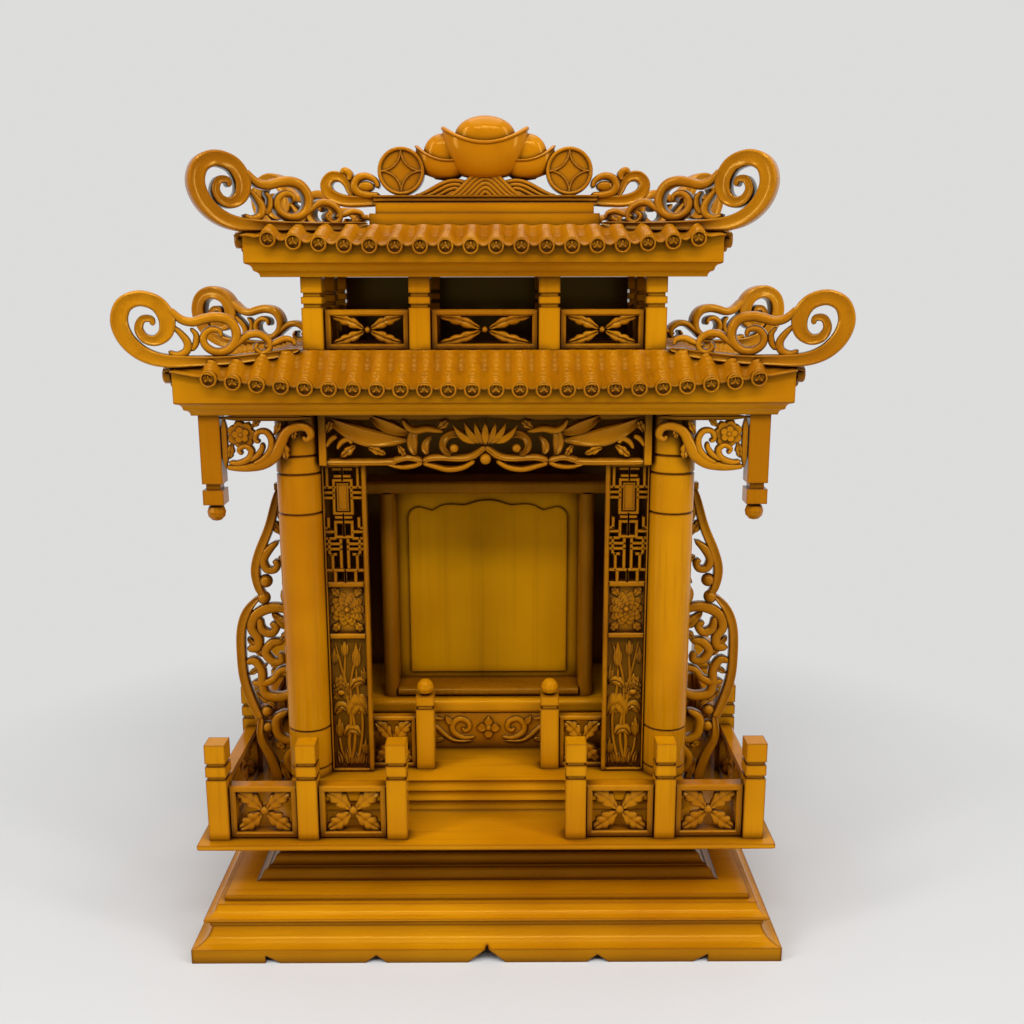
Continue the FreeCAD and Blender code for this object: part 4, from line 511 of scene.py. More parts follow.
def band(rows, rise, base, thick, section=crowned, sides=9, two_faced=False, start_round=True,
         end_round=True):
    """Carved band along rows (x, z, width): across it the point is line + normal * width/2 * u, the front
    lies at y = base - rise * section(s, u), and the back at base + thick, or carved the same way."""
    rows = round_ends(np.asarray(rows, float), start_round, end_round)
    line, half = rows[:, :2], rows[:, 2] / 2
    tangent = np.gradient(line, axis=0)
    tangent /= np.maximum(np.linalg.norm(tangent, axis=1, keepdims=True), 1e-9)
    normal = np.stack([-tangent[:, 1], tangent[:, 0]], 1)
    u = np.sin(np.linspace(-np.pi / 2, np.pi / 2, sides))
    s = np.linspace(0, 1, len(line))
    flat = line[:, None, :] + normal[:, None, :] * half[:, None, None] * u[None, :, None]
    full = np.minimum(1, 2 * half / np.maximum(half.max(), 1e-6))
    relief = rise * section(s[:, None], u[None, :]) * full[:, None]
    return faced(flat, relief, base, base + thick, two_faced)


def blade(root, tip, width, rise, base, thick=1.0, bend=0.0, section=veined, count=14, plump=0.8):
    """Leaf from root to tip, as wide as width * sin(pi s^plump) and never under 0.04 width; its midrib bows
    sideways by bend * length * sin(pi s)."""
    s = np.linspace(0, 1, count)
    way = np.array(tip, float) - np.array(root, float)
    side = np.array([-way[1], way[0]])
    line = np.array(root, float) + s[:, None] * way + (bend * np.sin(np.pi * s))[:, None] * side
    across = np.maximum(width * np.sin(np.pi * s**plump), width * 0.04)
    rows = np.column_stack([line, across])
    return band(rows, rise, base, thick, section, start_round=False, end_round=False)


def boss(centre, radii, rise, base, thick=1.0, count=24, rings=6):
    """Dome: at share r of its radius it rises by rise * sqrt(1 - r^2), over a foot as deep as thick."""
    angle = np.linspace(0, 2 * np.pi, count, endpoint=False)
    r = np.concatenate([[1.0], np.cos(np.linspace(0, np.pi / 2 * 0.96, rings))])
    lift = np.concatenate([[-thick], rise * np.clip(1 - r[1:]**2, 0, 1)**0.5])
    x = centre[0] + radii[0] * r[:, None] * np.cos(angle)[None, :]
    z = centre[1] + radii[1] * r[:, None] * np.sin(angle)[None, :]
    y = np.repeat((base - lift)[:, None], count, 1)
    return rings_part(np.stack([x, y, z], -1))


def frame_bar(x0, x1, z0, z1, width, front, back, bevel):
    """Picture frame: a bevelled section carried round four mitred corners."""
    section = [(0, back), (0, front + bevel), (bevel, front), (width - bevel, front), (width, front + bevel),
               (width, back)]
    inset, depth = np.array(section).T
    xs = np.stack([x0 + inset, x1 - inset, x1 - inset, x0 + inset])
    zs = np.stack([z0 + inset, z0 + inset, z1 - inset, z1 - inset])
    points = np.stack([xs, np.repeat(depth[None, :], 4, 0), zs], -1).reshape(-1, 3)
    return outward(points, ring_quads(4, len(section), closed=True), np.zeros((0, 3), int))


def moved(part, shift=(0, 0, 0), turn_deg=0.0):
    """A part turned about the upright axis and then shifted: x' = x cos - y sin, y' = x sin + y cos."""
    points, quads, tris = part
    a = math.radians(turn_deg)
    turn = np.array([[math.cos(a), math.sin(a), 0], [-math.sin(a), math.cos(a), 0], [0, 0, 1]])
    return points @ turn + np.array(shift, float), quads, tris


def mirrored(part, axis=0):
    """The twin of a part across the plane where that coordinate is zero; its faces are turned round."""
    points, quads, tris = part
    sign = np.ones(3)
    sign[axis] = -1
    return points * sign, quads[:, ::-1], tris[:, ::-1]


def both(parts, axis=0):
    """The parts and their twins across the plane where that coordinate is zero."""
    return list(parts) + [mirrored(part, axis) for part in parts]


def make_piece(name, parts, material, replaces=(), sharp_deg=38.0):
    """One mesh from many parts, in metres, ridden on the shrine's body."""
    points, faces, start = [], [], 0
    for part_points, quads, tris in parts:
        points.append(part_points)
        faces += (quads + start).tolist() + (tris + start).tolist()
        start += len(part_points)
    mesh = bpy.data.meshes.new(name)
    mesh.from_pydata((np.vstack(points) * MM).tolist(), [], faces)
    mesh.polygons.foreach_set("use_smooth", np.ones(len(mesh.polygons), bool))
    mesh.set_sharp_from_angle(angle=math.radians(sharp_deg))
    mesh.materials.append(material)
    made = bpy.data.objects.new(name, mesh)
    scene.collection.objects.link(made)
    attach(made, "root")
    if replaces:
        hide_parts(*replaces)
    print(name, "parts", len(parts), "faces", len(faces))
    return made


RIGHT_LEFT = (("right", "left"), 0)
FRONT_BACK = (("front", "back"), 1)


def carve(name, parts, replaced, material=carving):
    """A carved piece that takes the place of the frame's plain one."""
    make_piece(name, parts, material, [replaced])


def carve_twins(name, parts, replaced, ends, axis, material=carving):
    """The carved piece for the first of two ends, and its mirrored twin for the second."""
    for end, twin in zip(ends, (parts, [mirrored(part, axis) for part in parts])):
        carve(name + "_" + end, twin, replaced + "_" + end, material)


print("carved pieces come in pairs, by", carve_twins.__name__)

# %% [markdown]
# ## Roof tiles
# On the real roof, half-round cover tiles run down over the gaps between hollow pan tiles, and each
# row ends at the eave in a small round disc. One sheet per slope is enough: its height above the
# boards is a function of the place along the eave (round covers, hollow pans) and of the way down
# the slope (the rims where one cover tile laps over the next). Rows stop at the hip, so points
# beyond it are drawn in to the hip line and the faces that this leaves flat are dropped.

# %% The two roofs as numbers (millimetres)
ROOFS = {
    "lower": {"eave": (239.0, 102.0), "top": (142.6, 75.0), "eave_z": 478.3, "lift": 14.3, "top_z": 489.0,
              "rows": 24, "reach": 209.0, "side_rows": 11, "side_reach": 91.0, "disc": 6.5},
    "upper": {"eave": (181.6, 93.0), "top": (91.4, 44.0), "eave_z": 579.0, "lift": 8.5, "top_z": 585.0,
              "rows": 18, "reach": 161.0, "side_rows": 9, "side_reach": 77.0, "disc": 6.2},
}
ROOF_SAG = 3.0
EAVE_OVERRUN = 6.5
OVERRUN_DROOP = 0.35
TILE_BED = 0.9
TILE_WALL = 1.4
TILE_LAP = 4.6
LAP_SWELL = 0.34
LAP_STEP = 0.5
COVER_SHARE = 0.30
PAN_DEPTH = 1.17
HIP_FADE = 3.0
SHEET_STEP = 1.15
FLAT_FACE = 0.05


def roof_height(roof, w, t):
    """Height of the boards: at share w of the way out from the middle and share t up the slope.
    Eave: corner - lift (1 - w^4); half way up half the lift and a small sag; straight between them."""
    dip = 1 - w**4
    eave = roof["eave_z"] - roof["lift"] * dip
    middle = (roof["eave_z"] + roof["top_z"]) / 2 - ROOF_SAG - roof["lift"] / 2 * dip
    upper = middle + (roof["top_z"] - middle) * (2 * t - 1)
    return np.where(t < 0.5, eave + (middle - eave) * 2 * t, upper)


def tile_rise(along, pitch, reach, run):
    """Height over the boards: half-round covers of radius 0.3 pitch, hollow pans between them, and a lap
    each 4.6 mm down the row, towards which the cover swells by 0.34 (run mod 4.6 / 4.6)^1.6."""
    d = np.abs((along + reach) / pitch - np.round((along + reach) / pitch)) * pitch
    d = np.where(np.abs(along) > reach + pitch / 2, pitch / 2, d)
    radius = COVER_SHARE * pitch
    rim = (run % TILE_LAP) / TILE_LAP
    cover = np.sqrt(np.clip(radius**2 - d**2, 0, None)) * (1 + LAP_SWELL * rim**1.6)
    pan = PAN_DEPTH * ((d - radius) / (pitch / 2 - radius) - 1)**2 + LAP_STEP * rim
    return TILE_BED + cover + pan * (d > radius)


def tile_slope(roof, side):
    """Sheet of one slope, facing -Y for the front or +X for the flank, as (points, quads, no triangles)."""
    half, out = roof["eave"][::-1] if side else roof["eave"]
    top, out_top = roof["top"][::-1] if side else roof["top"]
    rows, reach = (roof["side_rows"], roof["side_reach"]) if side else (roof["rows"], roof["reach"])
    pitch = 2 * reach / (rows - 1)
    climb = roof["top_z"] - roof["eave_z"] + roof["lift"]
    slope = math.hypot(out - out_top, climb)
    fall = math.atan2(climb, out - out_top)
    along = np.linspace(-half, half, int(2 * half / pitch * 10) + 1)[None, :]
    t = np.linspace(-EAVE_OVERRUN / slope, 1, int(slope / SHEET_STEP))[:, None]
    limit = half + (top - half) * np.clip(t, 0, 1)
    x = np.clip(along, -limit, limit)
    boards = roof_height(roof, x / limit, np.clip(t, 0, 1)) + np.minimum(t, 0) * slope * OVERRUN_DROOP
    rise = tile_rise(x, pitch, reach, (1 - t) * slope) * np.clip((limit - np.abs(x)) / HIP_FADE, 0, 1)
    depth = out + (out_top - out) * t + rise * math.sin(fall)
    height = np.minimum(boards + rise * math.cos(fall), roof["top_z"] + TILE_BED)
    points = np.stack([depth, x, height] if side else [x, -depth, height], -1)
    n, m = x.shape
    i, j = np.meshgrid(np.arange(n - 1), np.arange(m - 1), indexing="ij")
    quads = np.stack([i * m + j, i * m + j + 1, (i + 1) * m + j + 1, (i + 1) * m + j], -1).reshape(-1, 4)
    a, b, c, d = (x.reshape(-1)[quads[:, k]] for k in range(4))
    wide = np.abs(a - b) + np.abs(d - c)
    return points.reshape(-1, 3), quads[wide > FLAT_FACE], np.zeros((0, 3), int)


for name, roof in ROOFS.items():
    print(name, "slopes have", [len(tile_slope(roof, side)[1]) for side in (False, True)], "faces")

# %% Tiles and their end discs
DISC_STANDOFF = 1.0
FRONT_DISC_DROP = 2.2
FLANK_DISC_DROP = 1.2
DISC_RINGS = ((1.0, -5.0, 0), (1.0, 0.2, 0), (0.90, 1.0, 0), (0.78, 0.9, 0), (0.66, -1.6, 1.2),
              (0.45, -1.6, 2.6), (0.2, -0.4, 1.2))


def tile_disc(x, y, z, radius, facing):
    """End disc of a cover row: rings of (share of the radius, height, height of the lobes) make a raised rim
    round a sunk ground, and three lobes of (0.5 + 0.5 cos(3 angle))^2 stand on it."""
    angle = np.linspace(0, 2 * np.pi, 18, endpoint=False)[None, :]
    r, lift, lobe_lift = np.array(DISC_RINGS).T[:, :, None]
    out = lift + lobe_lift * (0.5 + 0.5 * np.cos(3 * (angle - np.pi / 2)))**2
    disc = rings_part(np.stack([radius * r * np.cos(angle), -out, z + radius * r * np.sin(angle)], -1))
    return moved(disc, (x, y, 0), facing)


def disc_places(roof, rows, reach, half, drop):
    """Pairs (place along the eave, height), evenly from -reach to reach, a little under the boards' edge."""
    along = np.linspace(-reach, reach, rows)
    return zip(along, roof_height(roof, along / half, 0.0) - drop)


def roof_tiles(name):
    """Four sheets of tiles with a wall of their own, and a disc at the end of every row."""
    roof = ROOFS[name]
    half_x, half_y = roof["eave"]
    sheets = both([tile_slope(roof, False)], 1) + both([tile_slope(roof, True)], 0)
    tiles = make_piece(name + "_tiles", sheets, tile_gold, sharp_deg=70.0)
    wall = tiles.modifiers.new("thickness", "SOLIDIFY")
    wall.thickness = TILE_WALL * MM
    wall.offset = -1.0
    out = EAVE_OVERRUN + DISC_STANDOFF
    front = [tile_disc(x, -half_y - out, z, roof["disc"], 0)
             for x, z in disc_places(roof, roof["rows"], roof["reach"], half_x, FRONT_DISC_DROP)]
    flank = [tile_disc(half_x + out, y, z, roof["disc"], 90)
             for y, z in disc_places(roof, roof["side_rows"], roof["side_reach"], half_y, FLANK_DISC_DROP)]
    make_piece(name + "_tile_discs", both(front, 1) + both(flank, 0), carving)


roof_tiles("lower")
roof_tiles("upper")

# %% [markdown]
# ## Corner volutes
# Each hip carries a flat-cut scroll, sawn from a 14 mm board and then rounded with gouges. The
# main band runs out from the storey wall, lifts at the corner and rolls inward on itself. Smaller
# curls sit on its back. The rows below are read along each band as (outward, up, width).

# %% Volute bands
VOLUTE_MAIN = [(3, 1.4, 2.5), (14, -1.0, 6), (30, -3.2, 7), (57, -5.8, 7.5), (81, -6.0, 8.5), (100, -5.4, 10),
               (113, -2.6, 11), (123.5, 3.6, 12), (131.5, 13.5, 12.6), (134.6, 25.5, 12.8),
               (130.5, 36.8, 12.4), (119.5, 41.6, 11.8), (107.0, 37.6, 12), (100.6, 27.2, 12.4),
               (101.8, 16.2, 11), (109.0, 10.4, 8.5), (117.0, 12.0, 7.4), (121.0, 19.0, 6.6),
               (118.2, 26.0, 5.8), (111.8, 26.2, 5.0), (110.6, 21.4, 3.6)]
VOLUTE_NECK = [(99, 34, 5), (90.5, 25.8, 6.4), (82, 23.6, 7), (74, 25.6, 7.4), (65, 27.0, 7.6),
               (55.6, 24.6, 7.6), (50.4, 17.0, 7.4), (51.4, 8.0, 7.0), (58, 1.6, 6.6), (67, 1.0, 6.2),
               (73.8, 6.0, 6), (74.4, 13.2, 5.6), (69.2, 17.8, 5.2), (62.8, 16.6, 4.6), (61.8, 11.6, 3.4)]
VOLUTE_THIRD = [(54, 3, 4), (48, 8.4, 5.2), (41, 13.2, 5.8), (33, 13.4, 5.8), (26.4, 8.6, 5.4),
                (26.2, 1.8, 5.0), (32.0, -0.6, 4.4), (36.4, 3.2, 3.8), (34.0, 7.4, 3.0)]
VOLUTE_DROP = [(97, 21, 3), (91.0, 15.0, 5), (86.6, 8.0, 6.2), (88.0, 1.6, 6.2), (94.5, -0.8, 5),
               (101, 1.8, 3)]
VOLUTE_LEAF = [(84, 19, 2.5), (80, 14.0, 4.6), (80.6, 7.4, 5.2), (84.4, 1.8, 3.6)]
VOLUTE_TAIL = [(30, 4.0, 3), (22, 6.6, 4.6), (14.6, 9.6, 5.0), (8.2, 8.6, 4.4), (6.4, 4.4, 3.2)]
VOLUTE_BANDS = ((VOLUTE_MAIN, hollowed, 2.6, 8.8), (VOLUTE_NECK, crowned, 3.0, 7.0),
                (VOLUTE_THIRD, crowned, 2.8, 6.6), (VOLUTE_DROP, crowned, 2.4, 6.0),
                (VOLUTE_LEAF, crowned, 2.0, 5.0), (VOLUTE_TAIL, crowned, 2.4, 6.0))
VOLUTE_FOOT = 60.0


def volute(outward_shift, upward_shift):
    """All bands of one corner scroll; the shifts grow with the way out, so the foot keeps its place."""
    parts = []
    for rows, section, rise, thick in VOLUTE_BANDS:
        line = flow(rows, 5)
        grown = np.clip(line[:, 0] / VOLUTE_FOOT, 0, 1)
        line[:, 0] += outward_shift * grown
        line[:, 1] += upward_shift * grown
        parts.append(band(line, rise, -thick / 2, thick, section, two_faced=True))
    return parts


def corner_volutes(name, roof, shifts):
    """Four scrolls, each in the upright plane of its hip."""
    (eave_x, eave_y), (top_x, top_y) = roof["eave"], roof["top"]
    angle = math.degrees(math.atan2(eave_y - top_y, eave_x - top_x))
    parts = [moved(part, (top_x, -top_y, roof["top_z"]), -angle) for part in volute(*shifts)]
    carve_twins(name + "_carved", both(parts), name, *FRONT_BACK)


corner_volutes("lower_volutes", ROOFS["lower"], (0.0, 0.0))
corner_volutes("upper_volutes", ROOFS["upper"], (0.5, 4.6))

# %% [markdown]
# ## Flower panels
# The rails hold small framed panels, each pierced and carved with one flower: a round boss and four
# lobed leaves that reach the corners. A leaf is a surface of two numbers, s along its midrib and u
# across it. Its edge swings in and out to make the lobes, the lobes lean towards the tip, and the
# midrib is a groove.

# %% Leaves, plates and beads
def frond(root, tip, width, rise, middle, thick=2.4, lobes=3.5, bend=0.0, count=24, two_faced=True):
    """Lobed leaf: half width = width/2 * sin(pi s^0.8)^0.7 * (0.66 + 0.34 |cos(pi lobes s)|^0.7), lobes moved
    forward by 0.45 u^2 half widths; relief = rise * (1 - u^6) * (0.6 + 0.4 |cos|) less a midrib groove."""
    s = np.linspace(0, 1, count)
    u = np.sin(np.linspace(-np.pi / 2, np.pi / 2, 9))[None, :]
    way = np.array(tip, float) - np.array(root, float)
    length = np.hypot(*way)
    along = way / length
    side = np.array([-along[1], along[0]])
    teeth = np.abs(np.cos(np.pi * lobes * s))**0.7
    half = np.maximum(width / 2 * np.sin(np.pi * s**0.8)**0.7 * (0.66 + 0.34 * teeth), 0.25)[:, None]
    bow = (bend * length * np.sin(np.pi * s))[:, None] * side
    centre = np.array(root, float) + (s * length)[:, None] * along + bow
    flat = centre[:, None, :] + (half * u)[..., None] * side + (0.45 * half * u**2)[..., None] * along
    swell = (1 - np.abs(u)**6) * (0.6 + 0.4 * teeth[:, None]) - 0.5 * np.exp(-(u / 0.16)**2)
    relief = rise * swell * np.minimum(1, half / 1.5)
    return faced(flat, relief, middle - thick / 2, middle + thick / 2, two_faced)


def plate(x0, x1, z0, z1, front, back, bevel=0.5):
    """Thin board with its front edges taken off by a small bevel."""
    rings = []
    for inset, y in ((0, back), (0, front + bevel), (bevel, front)):
        left, right, low, high = x0 + inset, x1 - inset, z0 + inset, z1 - inset
        rings.append([(left, y, low), (right, y, low), (right, y, high), (left, y, high)])
    return rings_part(np.array(rings, float))


def ball(x, y, z, radius, count=16, rings=9):
    """Turned bead: ring radius = radius * sin(angle), height = radius * cos(angle)."""
    angle = np.linspace(0.05, np.pi - 0.05, rings)
    turn = np.linspace(0, 2 * np.pi, count, endpoint=False)
    ring = radius * np.sin(angle)[:, None]
    height = z + radius * np.cos(angle)[:, None] + 0 * turn[None, :]
    return rings_part(np.stack([x + ring * np.cos(turn), y + ring * np.sin(turn), height], -1))


print("a leaf has", len(frond((0, 0), (10, 0), 4, 1, 0)[1]), "faces and a bead", len(ball(0, 0, 0, 1)[1]))

# %% Framed flowers
PANEL_BEVEL = 1.2
MULLION_HALF = 1.6
MULLION_SETBACK = 1.5


def flower(x, z, half_width, half_height, middle, rise=2.0):
    """Bead with four lobed leaves that run out almost to the corners of their cell."""
    size = min(half_width, half_height)
    parts = [ball(x, middle, z, size * 0.24)]
    for sx in (-1, 1):
        for sz in (-1, 1):
            root = (x + sx * half_width * 0.08, z + sz * half_height * 0.08)
            tip = (x + sx * half_width * 0.97, z + sz * half_height * 0.95)
            parts.append(frond(root, tip, size * 0.86, rise, middle, bend=0.05 * sx * sz))
    return parts


def panel(x0, x1, levels, faces, border, cells=1):
    """Framed, pierced board between two levels and two faces, with one flower in every cell."""
    (z0, z1), (front, back) = levels, faces
    parts = [frame_bar(x0, x1, z0, z1, border, front, back, PANEL_BEVEL)]
    width = (x1 - x0 - 2 * border) / cells
    for k in range(cells):
        x = x0 + border + width * k
        parts += flower(x + width / 2, (z0 + z1) / 2, width / 2, (z1 - z0) / 2 - border, (front + back) / 2)
        if k:
            parts.append(plate(x - MULLION_HALF, x + MULLION_HALF, z0 + border, z1 - border,
                               front + MULLION_SETBACK, back - MULLION_SETBACK))
    return parts


print("a framed bay of two cells has", len(panel(-40, 40, (0, 40), (-4, 4), 5, 2)), "parts")

# %% Balustrade panels
RAIL_LEVELS = (100.4, 146.0)
RAIL_BORDER = 5.5
RAIL_FACES = (-130.3, -119.7)
SIDE_RAIL_X = 215.75
SIDE_RAIL_FACES = (-5.3, 5.3)
front_bays = panel(80.2, 135.6, RAIL_LEVELS, RAIL_FACES, RAIL_BORDER)
front_bays += panel(152.1, 207.5, RAIL_LEVELS, RAIL_FACES, RAIL_BORDER)
front_bays = both(front_bays)
carve("rail_flowers_front", front_bays, "balustrade_panels_front")
back_bays = front_bays + panel(-63.7, 63.7, RAIL_LEVELS, RAIL_FACES, RAIL_BORDER, 2)
carve("rail_flowers_back", [mirrored(part, 1) for part in back_bays], "balustrade_panels_back")
side_bays = both(panel(8.25, 116.75, RAIL_LEVELS, SIDE_RAIL_FACES, RAIL_BORDER, 2))
right_bays = [moved(part, (SIDE_RAIL_X, 0, 0), 90) for part in side_bays]
carve_twins("rail_flowers", right_bays, "balustrade_panels", *RIGHT_LEFT)

# %% Panels of the upper storey and of the inner rail
STOREY_LEVELS = (489.0, 520.7)
STOREY_BORDER = 5.0
STOREY_FACES = (-70.7, -62.8)
FLANK_X = 134.35
FLANK_FACES = (-4.0, 4.0)
SHADE_SHEET_FACES = (59.4, 62.6)
INNER_RAIL_LEVELS = (127.6, 175.0)
INNER_RAIL_FACES = (-58.0, -50.0)
storey_bays = both(panel(58.95, 126.1, STOREY_LEVELS, STOREY_FACES, STOREY_BORDER))
storey_bays += panel(-42.45, 42.45, STOREY_LEVELS, STOREY_FACES, STOREY_BORDER)
# A near-black sheet behind the storey panels: painted shade inside the storey, seen through the piercings.
shade_sheet = plate(-126.0, 126.0, 489.2, 544.6, *SHADE_SHEET_FACES, 0.3)
make_piece("storey_shade_sheet", [shade_sheet], shade_sheet_brown)
carve_twins("storey_flowers", storey_bays, "storey_panels", *FRONT_BACK)
flank_bays = both(panel(8.25, 58.5, STOREY_LEVELS, FLANK_FACES, STOREY_BORDER))
flank_bays = [moved(part, (FLANK_X, 0, 0), 90) for part in flank_bays]
carve("storey_flowers_side", both(flank_bays), "storey_panels_side")
inner_bays = both(panel(61.3, 102.6, INNER_RAIL_LEVELS, INNER_RAIL_FACES, 4.4))
carve("inner_rail_flowers", inner_bays, "tablet_rail_panels")

# %% [markdown]
# ## Header over the room
# The header is one pierced board. A cusped rail forms its lower edge. Over it, long hollowed leaves
# run in from the columns to a lotus in the middle. Only the right half is drawn; the left is its
# twin. Rows are read as (x, z, width).

# %% Header carving
HEADER_Y = -74.0
HEADER_BACK = -66.4
HEADER_BANDS = (
    ([(133.7, 399.8, 5.6), (80, 399.8, 5.6), (72, 401.3, 5.6), (64, 403.4, 5.6), (57, 402.6, 5.6),
      (50.6, 400.2, 5.2)], ridged, 1.6),
    ([(50.6, 400.2, 5.2), (45, 402.6, 5.6), (36, 403.4, 5.6), (22, 402.6, 5.6), (13, 403.6, 5.6),
      (6, 407.2, 5.6), (0, 412.4, 5.6)], ridged, 1.6),
    ([(133.7, 437.0, 6.0), (0, 437.0, 6.0)], ridged, 1.0),
    ([(127.4, 436, 2), (118.5, 430.6, 9), (107, 424.6, 14), (95, 420.4, 16), (83, 418.4, 13),
      (72, 417.6, 8.5), (61, 417.4, 2)], hollowed, 4.4),
    ([(92, 437, 3), (84, 431.6, 9.5), (75, 427.2, 11.5), (66, 424.4, 7.5), (59.5, 424, 2)], hollowed, 4.0),
    ([(66, 435, 3), (62.5, 429, 5.5), (56.5, 425.6, 6.5), (47, 427.0, 6.4), (38, 425.6, 4.5), (33, 424.6, 2)],
     crowned, 3.6),
    ([(52, 428.5, 3), (57.5, 422.5, 8), (58.6, 415.5, 9.5), (57.8, 409.4, 7),
      (55.5, 405.8, 3)], hollowed, 4.2),
    ([(43, 421.5, 2), (47.5, 416.0, 6), (48.5, 410.5, 6.5), (46.5, 406.0, 3)], hollowed, 3.0),
    ([(8.5, 416.6, 3), (15, 420.6, 6), (23.5, 423.0, 7), (31.4, 420.2, 7), (34.2, 413.2, 6.4),
      (31.2, 407.8, 5.6), (26.4, 407.0, 4.6)], hollowed, 4.0),
    ([(119, 410.2, 2.5), (115.5, 416.2, 5), (109.6, 418.6, 5), (106.4, 414.8, 4)], crowned, 2.6),
    ([(128, 412, 2.5), (123.8, 418.6, 5), (118.4, 421.4, 4.4)], crowned, 2.6),
    ([(79, 397.8, 2), (68, 395.8, 3.6), (58, 396.8, 4), (50.6, 399.6, 3)], crowned, 2.4),
    ([(50.6, 399.0, 3), (42, 396.6, 4.2), (30, 393.8, 4.6), (18, 395.6, 4.4),
      (8.5, 401.0, 3.4)], crowned, 2.6),
)
HEADER_PETALS = (((2.0, 414.5), (8.5, 433.0), 6.2, -0.05), ((3.0, 415.0), (17.0, 433.0), 6.4, -0.10),
                 ((5.0, 416.0), (26.0, 430.5), 6.6, -0.14))
HEADER_LEAVES = (((38, 427), (29.5, 434), 8.0), ((94, 412), (80.0, 406.5), 7.0), ((104, 414),
                                                                                  (116, 404.5), 7.5),
                 ((127, 424), (122.5, 434), 7.5), ((70, 414), (64.5, 405), 6.0))
header = [band(flow(rows, 6), rise, HEADER_Y + 2.0, 4.0, section) for rows, section, rise in HEADER_BANDS]
header.append(ball(25.0, HEADER_Y - 1.0, 411.6, 3.6))
for root, tip, width, bend in HEADER_PETALS:
    header.append(blade(root, tip, width, 3.4, HEADER_Y + 0.5, 4.0, bend, cupped))
for root, tip, width in HEADER_LEAVES:
    header.append(frond(root, tip, width, 1.8, HEADER_Y + 2.0, 3.0, 2.5))
header = both(header)
header.append(blade((0, 414.0), (0, 434.0), 7.0, 4.2, HEADER_Y, 4.0, 0.0, cupped))
header.append(ball(0.0, HEADER_Y + 0.5, 402.6, 4.6))
for x0, x1 in ((-133.7, -127.6), (127.6, 133.7)):
    header.append(plate(x0, x1, 397.3, 440.3, HEADER_Y - 0.6, HEADER_BACK))
carve("header_carving", header, "carved_header")

# %% [markdown]
# ## Brackets beside the column heads
# A pierced corner board fills the angle between each pendant and its column. A peony sits in its
# upper corner, and three fingers of one leaf fan out below it. The longest finger passes over the
# column head and ends in a hook.

# %% Bracket carving
BRACKET_Y = -84.1
BRACKET_BANDS = (
    ([(205.4, 397.5, 5.0), (205.4, 437.8, 5.0)], ridged, 1.2),
    ([(208.2, 437.6, 5.0), (136, 437.6, 5.0)], ridged, 1.2),
    ([(205, 398.6, 4.0), (196, 397.8, 5.6), (186, 398.4, 7.2), (175.5, 401.2, 9.0), (166.5, 407.6, 9.6),
      (161.5, 417.0, 8.8), (156.5, 426.0, 8.0), (147.6, 430.6, 7.4), (140, 429.4, 6.6), (137.4, 423.4, 5.6),
      (140.8, 420.2, 4.2), (143.6, 423.2, 3.4)], crowned, 2.8),
    ([(184, 401.0, 3), (175, 405.4, 5.4), (169.4, 412.4, 5.8), (168.6, 420.4, 5.2), (172.6, 426.6, 5.0),
      (179, 426.2, 4.8), (181, 420.6, 4.2), (177.4, 418.2, 3.2)], crowned, 2.8),
    ([(187, 403.0, 3), (180, 407.8, 5.2), (176, 413.6, 4.6), (176.4, 418.0, 2.6)], crowned, 2.6),
    ([(203, 402.6, 3), (195.5, 401.6, 5), (187.2, 405.0, 5.8), (184.6, 411.4, 5.4), (189.0, 415.4, 4.8),
      (194.2, 412.4, 4.2), (191.8, 408.4, 3)], crowned, 2.8),
)
PEONY = np.array([192.0, 424.4])
PEONY_RINGS = ((7, 0.3, (12.0, 11.4), 10.4, 2.6, 1.0, 3.6), (5, 0.0, (7.4, 7.0), 6.8, 2.4, 2.8, 3.0))
BRACKET_LEAVES = (((160, 420), (157.4, 404.5), 8.0), ((200, 418), (202.0, 405.0), 6.5), ((184, 430),
                                                                                         (177, 436), 5.5),
                  ((166, 424), (160.6, 435), 6.0), ((150, 431), (151, 420.5), 5.5))
bracket = [band(flow(rows, 5), rise, BRACKET_Y - 2.0, 4.0, section, two_faced=True)
           for rows, section, rise in BRACKET_BANDS]
for count, start, reach, width, rise, before, thick in PEONY_RINGS:
    for turn in start + 2 * np.pi * np.arange(count) / count:
        tip = PEONY + reach * np.array([math.cos(turn), math.sin(turn)])
        bracket.append(blade(PEONY, tip, width, rise, BRACKET_Y - before, thick, 0.06, cupped, plump=1.3))
bracket.append(ball(PEONY[0], BRACKET_Y - 3.4, PEONY[1], 2.0))
for root, tip, width in BRACKET_LEAVES:
    bracket.append(frond(root, tip, width, 1.5, BRACKET_Y, 3.2, 2.5))
carve("bracket_carving", both(bracket), "corner_brackets")

# %% [markdown]
# ## Crest with ingots and coins
# The ridge carries the signs of wealth: three boat-shaped ingots, two round coins and, under them,
# mounds drawn with even ridges. An ingot is a bowl whose rim rises to both ends, with a dome of the
# same casting inside it. The bowl is one closed skin: up the outside, over the rim and down inside.

# %% Ingots
GRAIN_CAST = (40.0, 40.0, 40.0)
INGOT_HALF_WIDTH = 35.0
INGOT_HALF_DEPTH = 17.0
INGOT_CAST = (25.0, 13.0, 16.0)
INGOT_LIP = ((0.9, 0.5), (1.3, 1.6), (0.8, 2.6), (-0.4, 3.1), (-1.8, 2.8), (-2.8, 1.6), (-3.1, -3.0))
ingot_gold = lacquer("ingot_lacquer", (0.520, 0.195, 0.002), (0.430, 0.142, 0.001), GRAIN_CAST, gloss=0.15,
                     near_shade_reach=0.014)


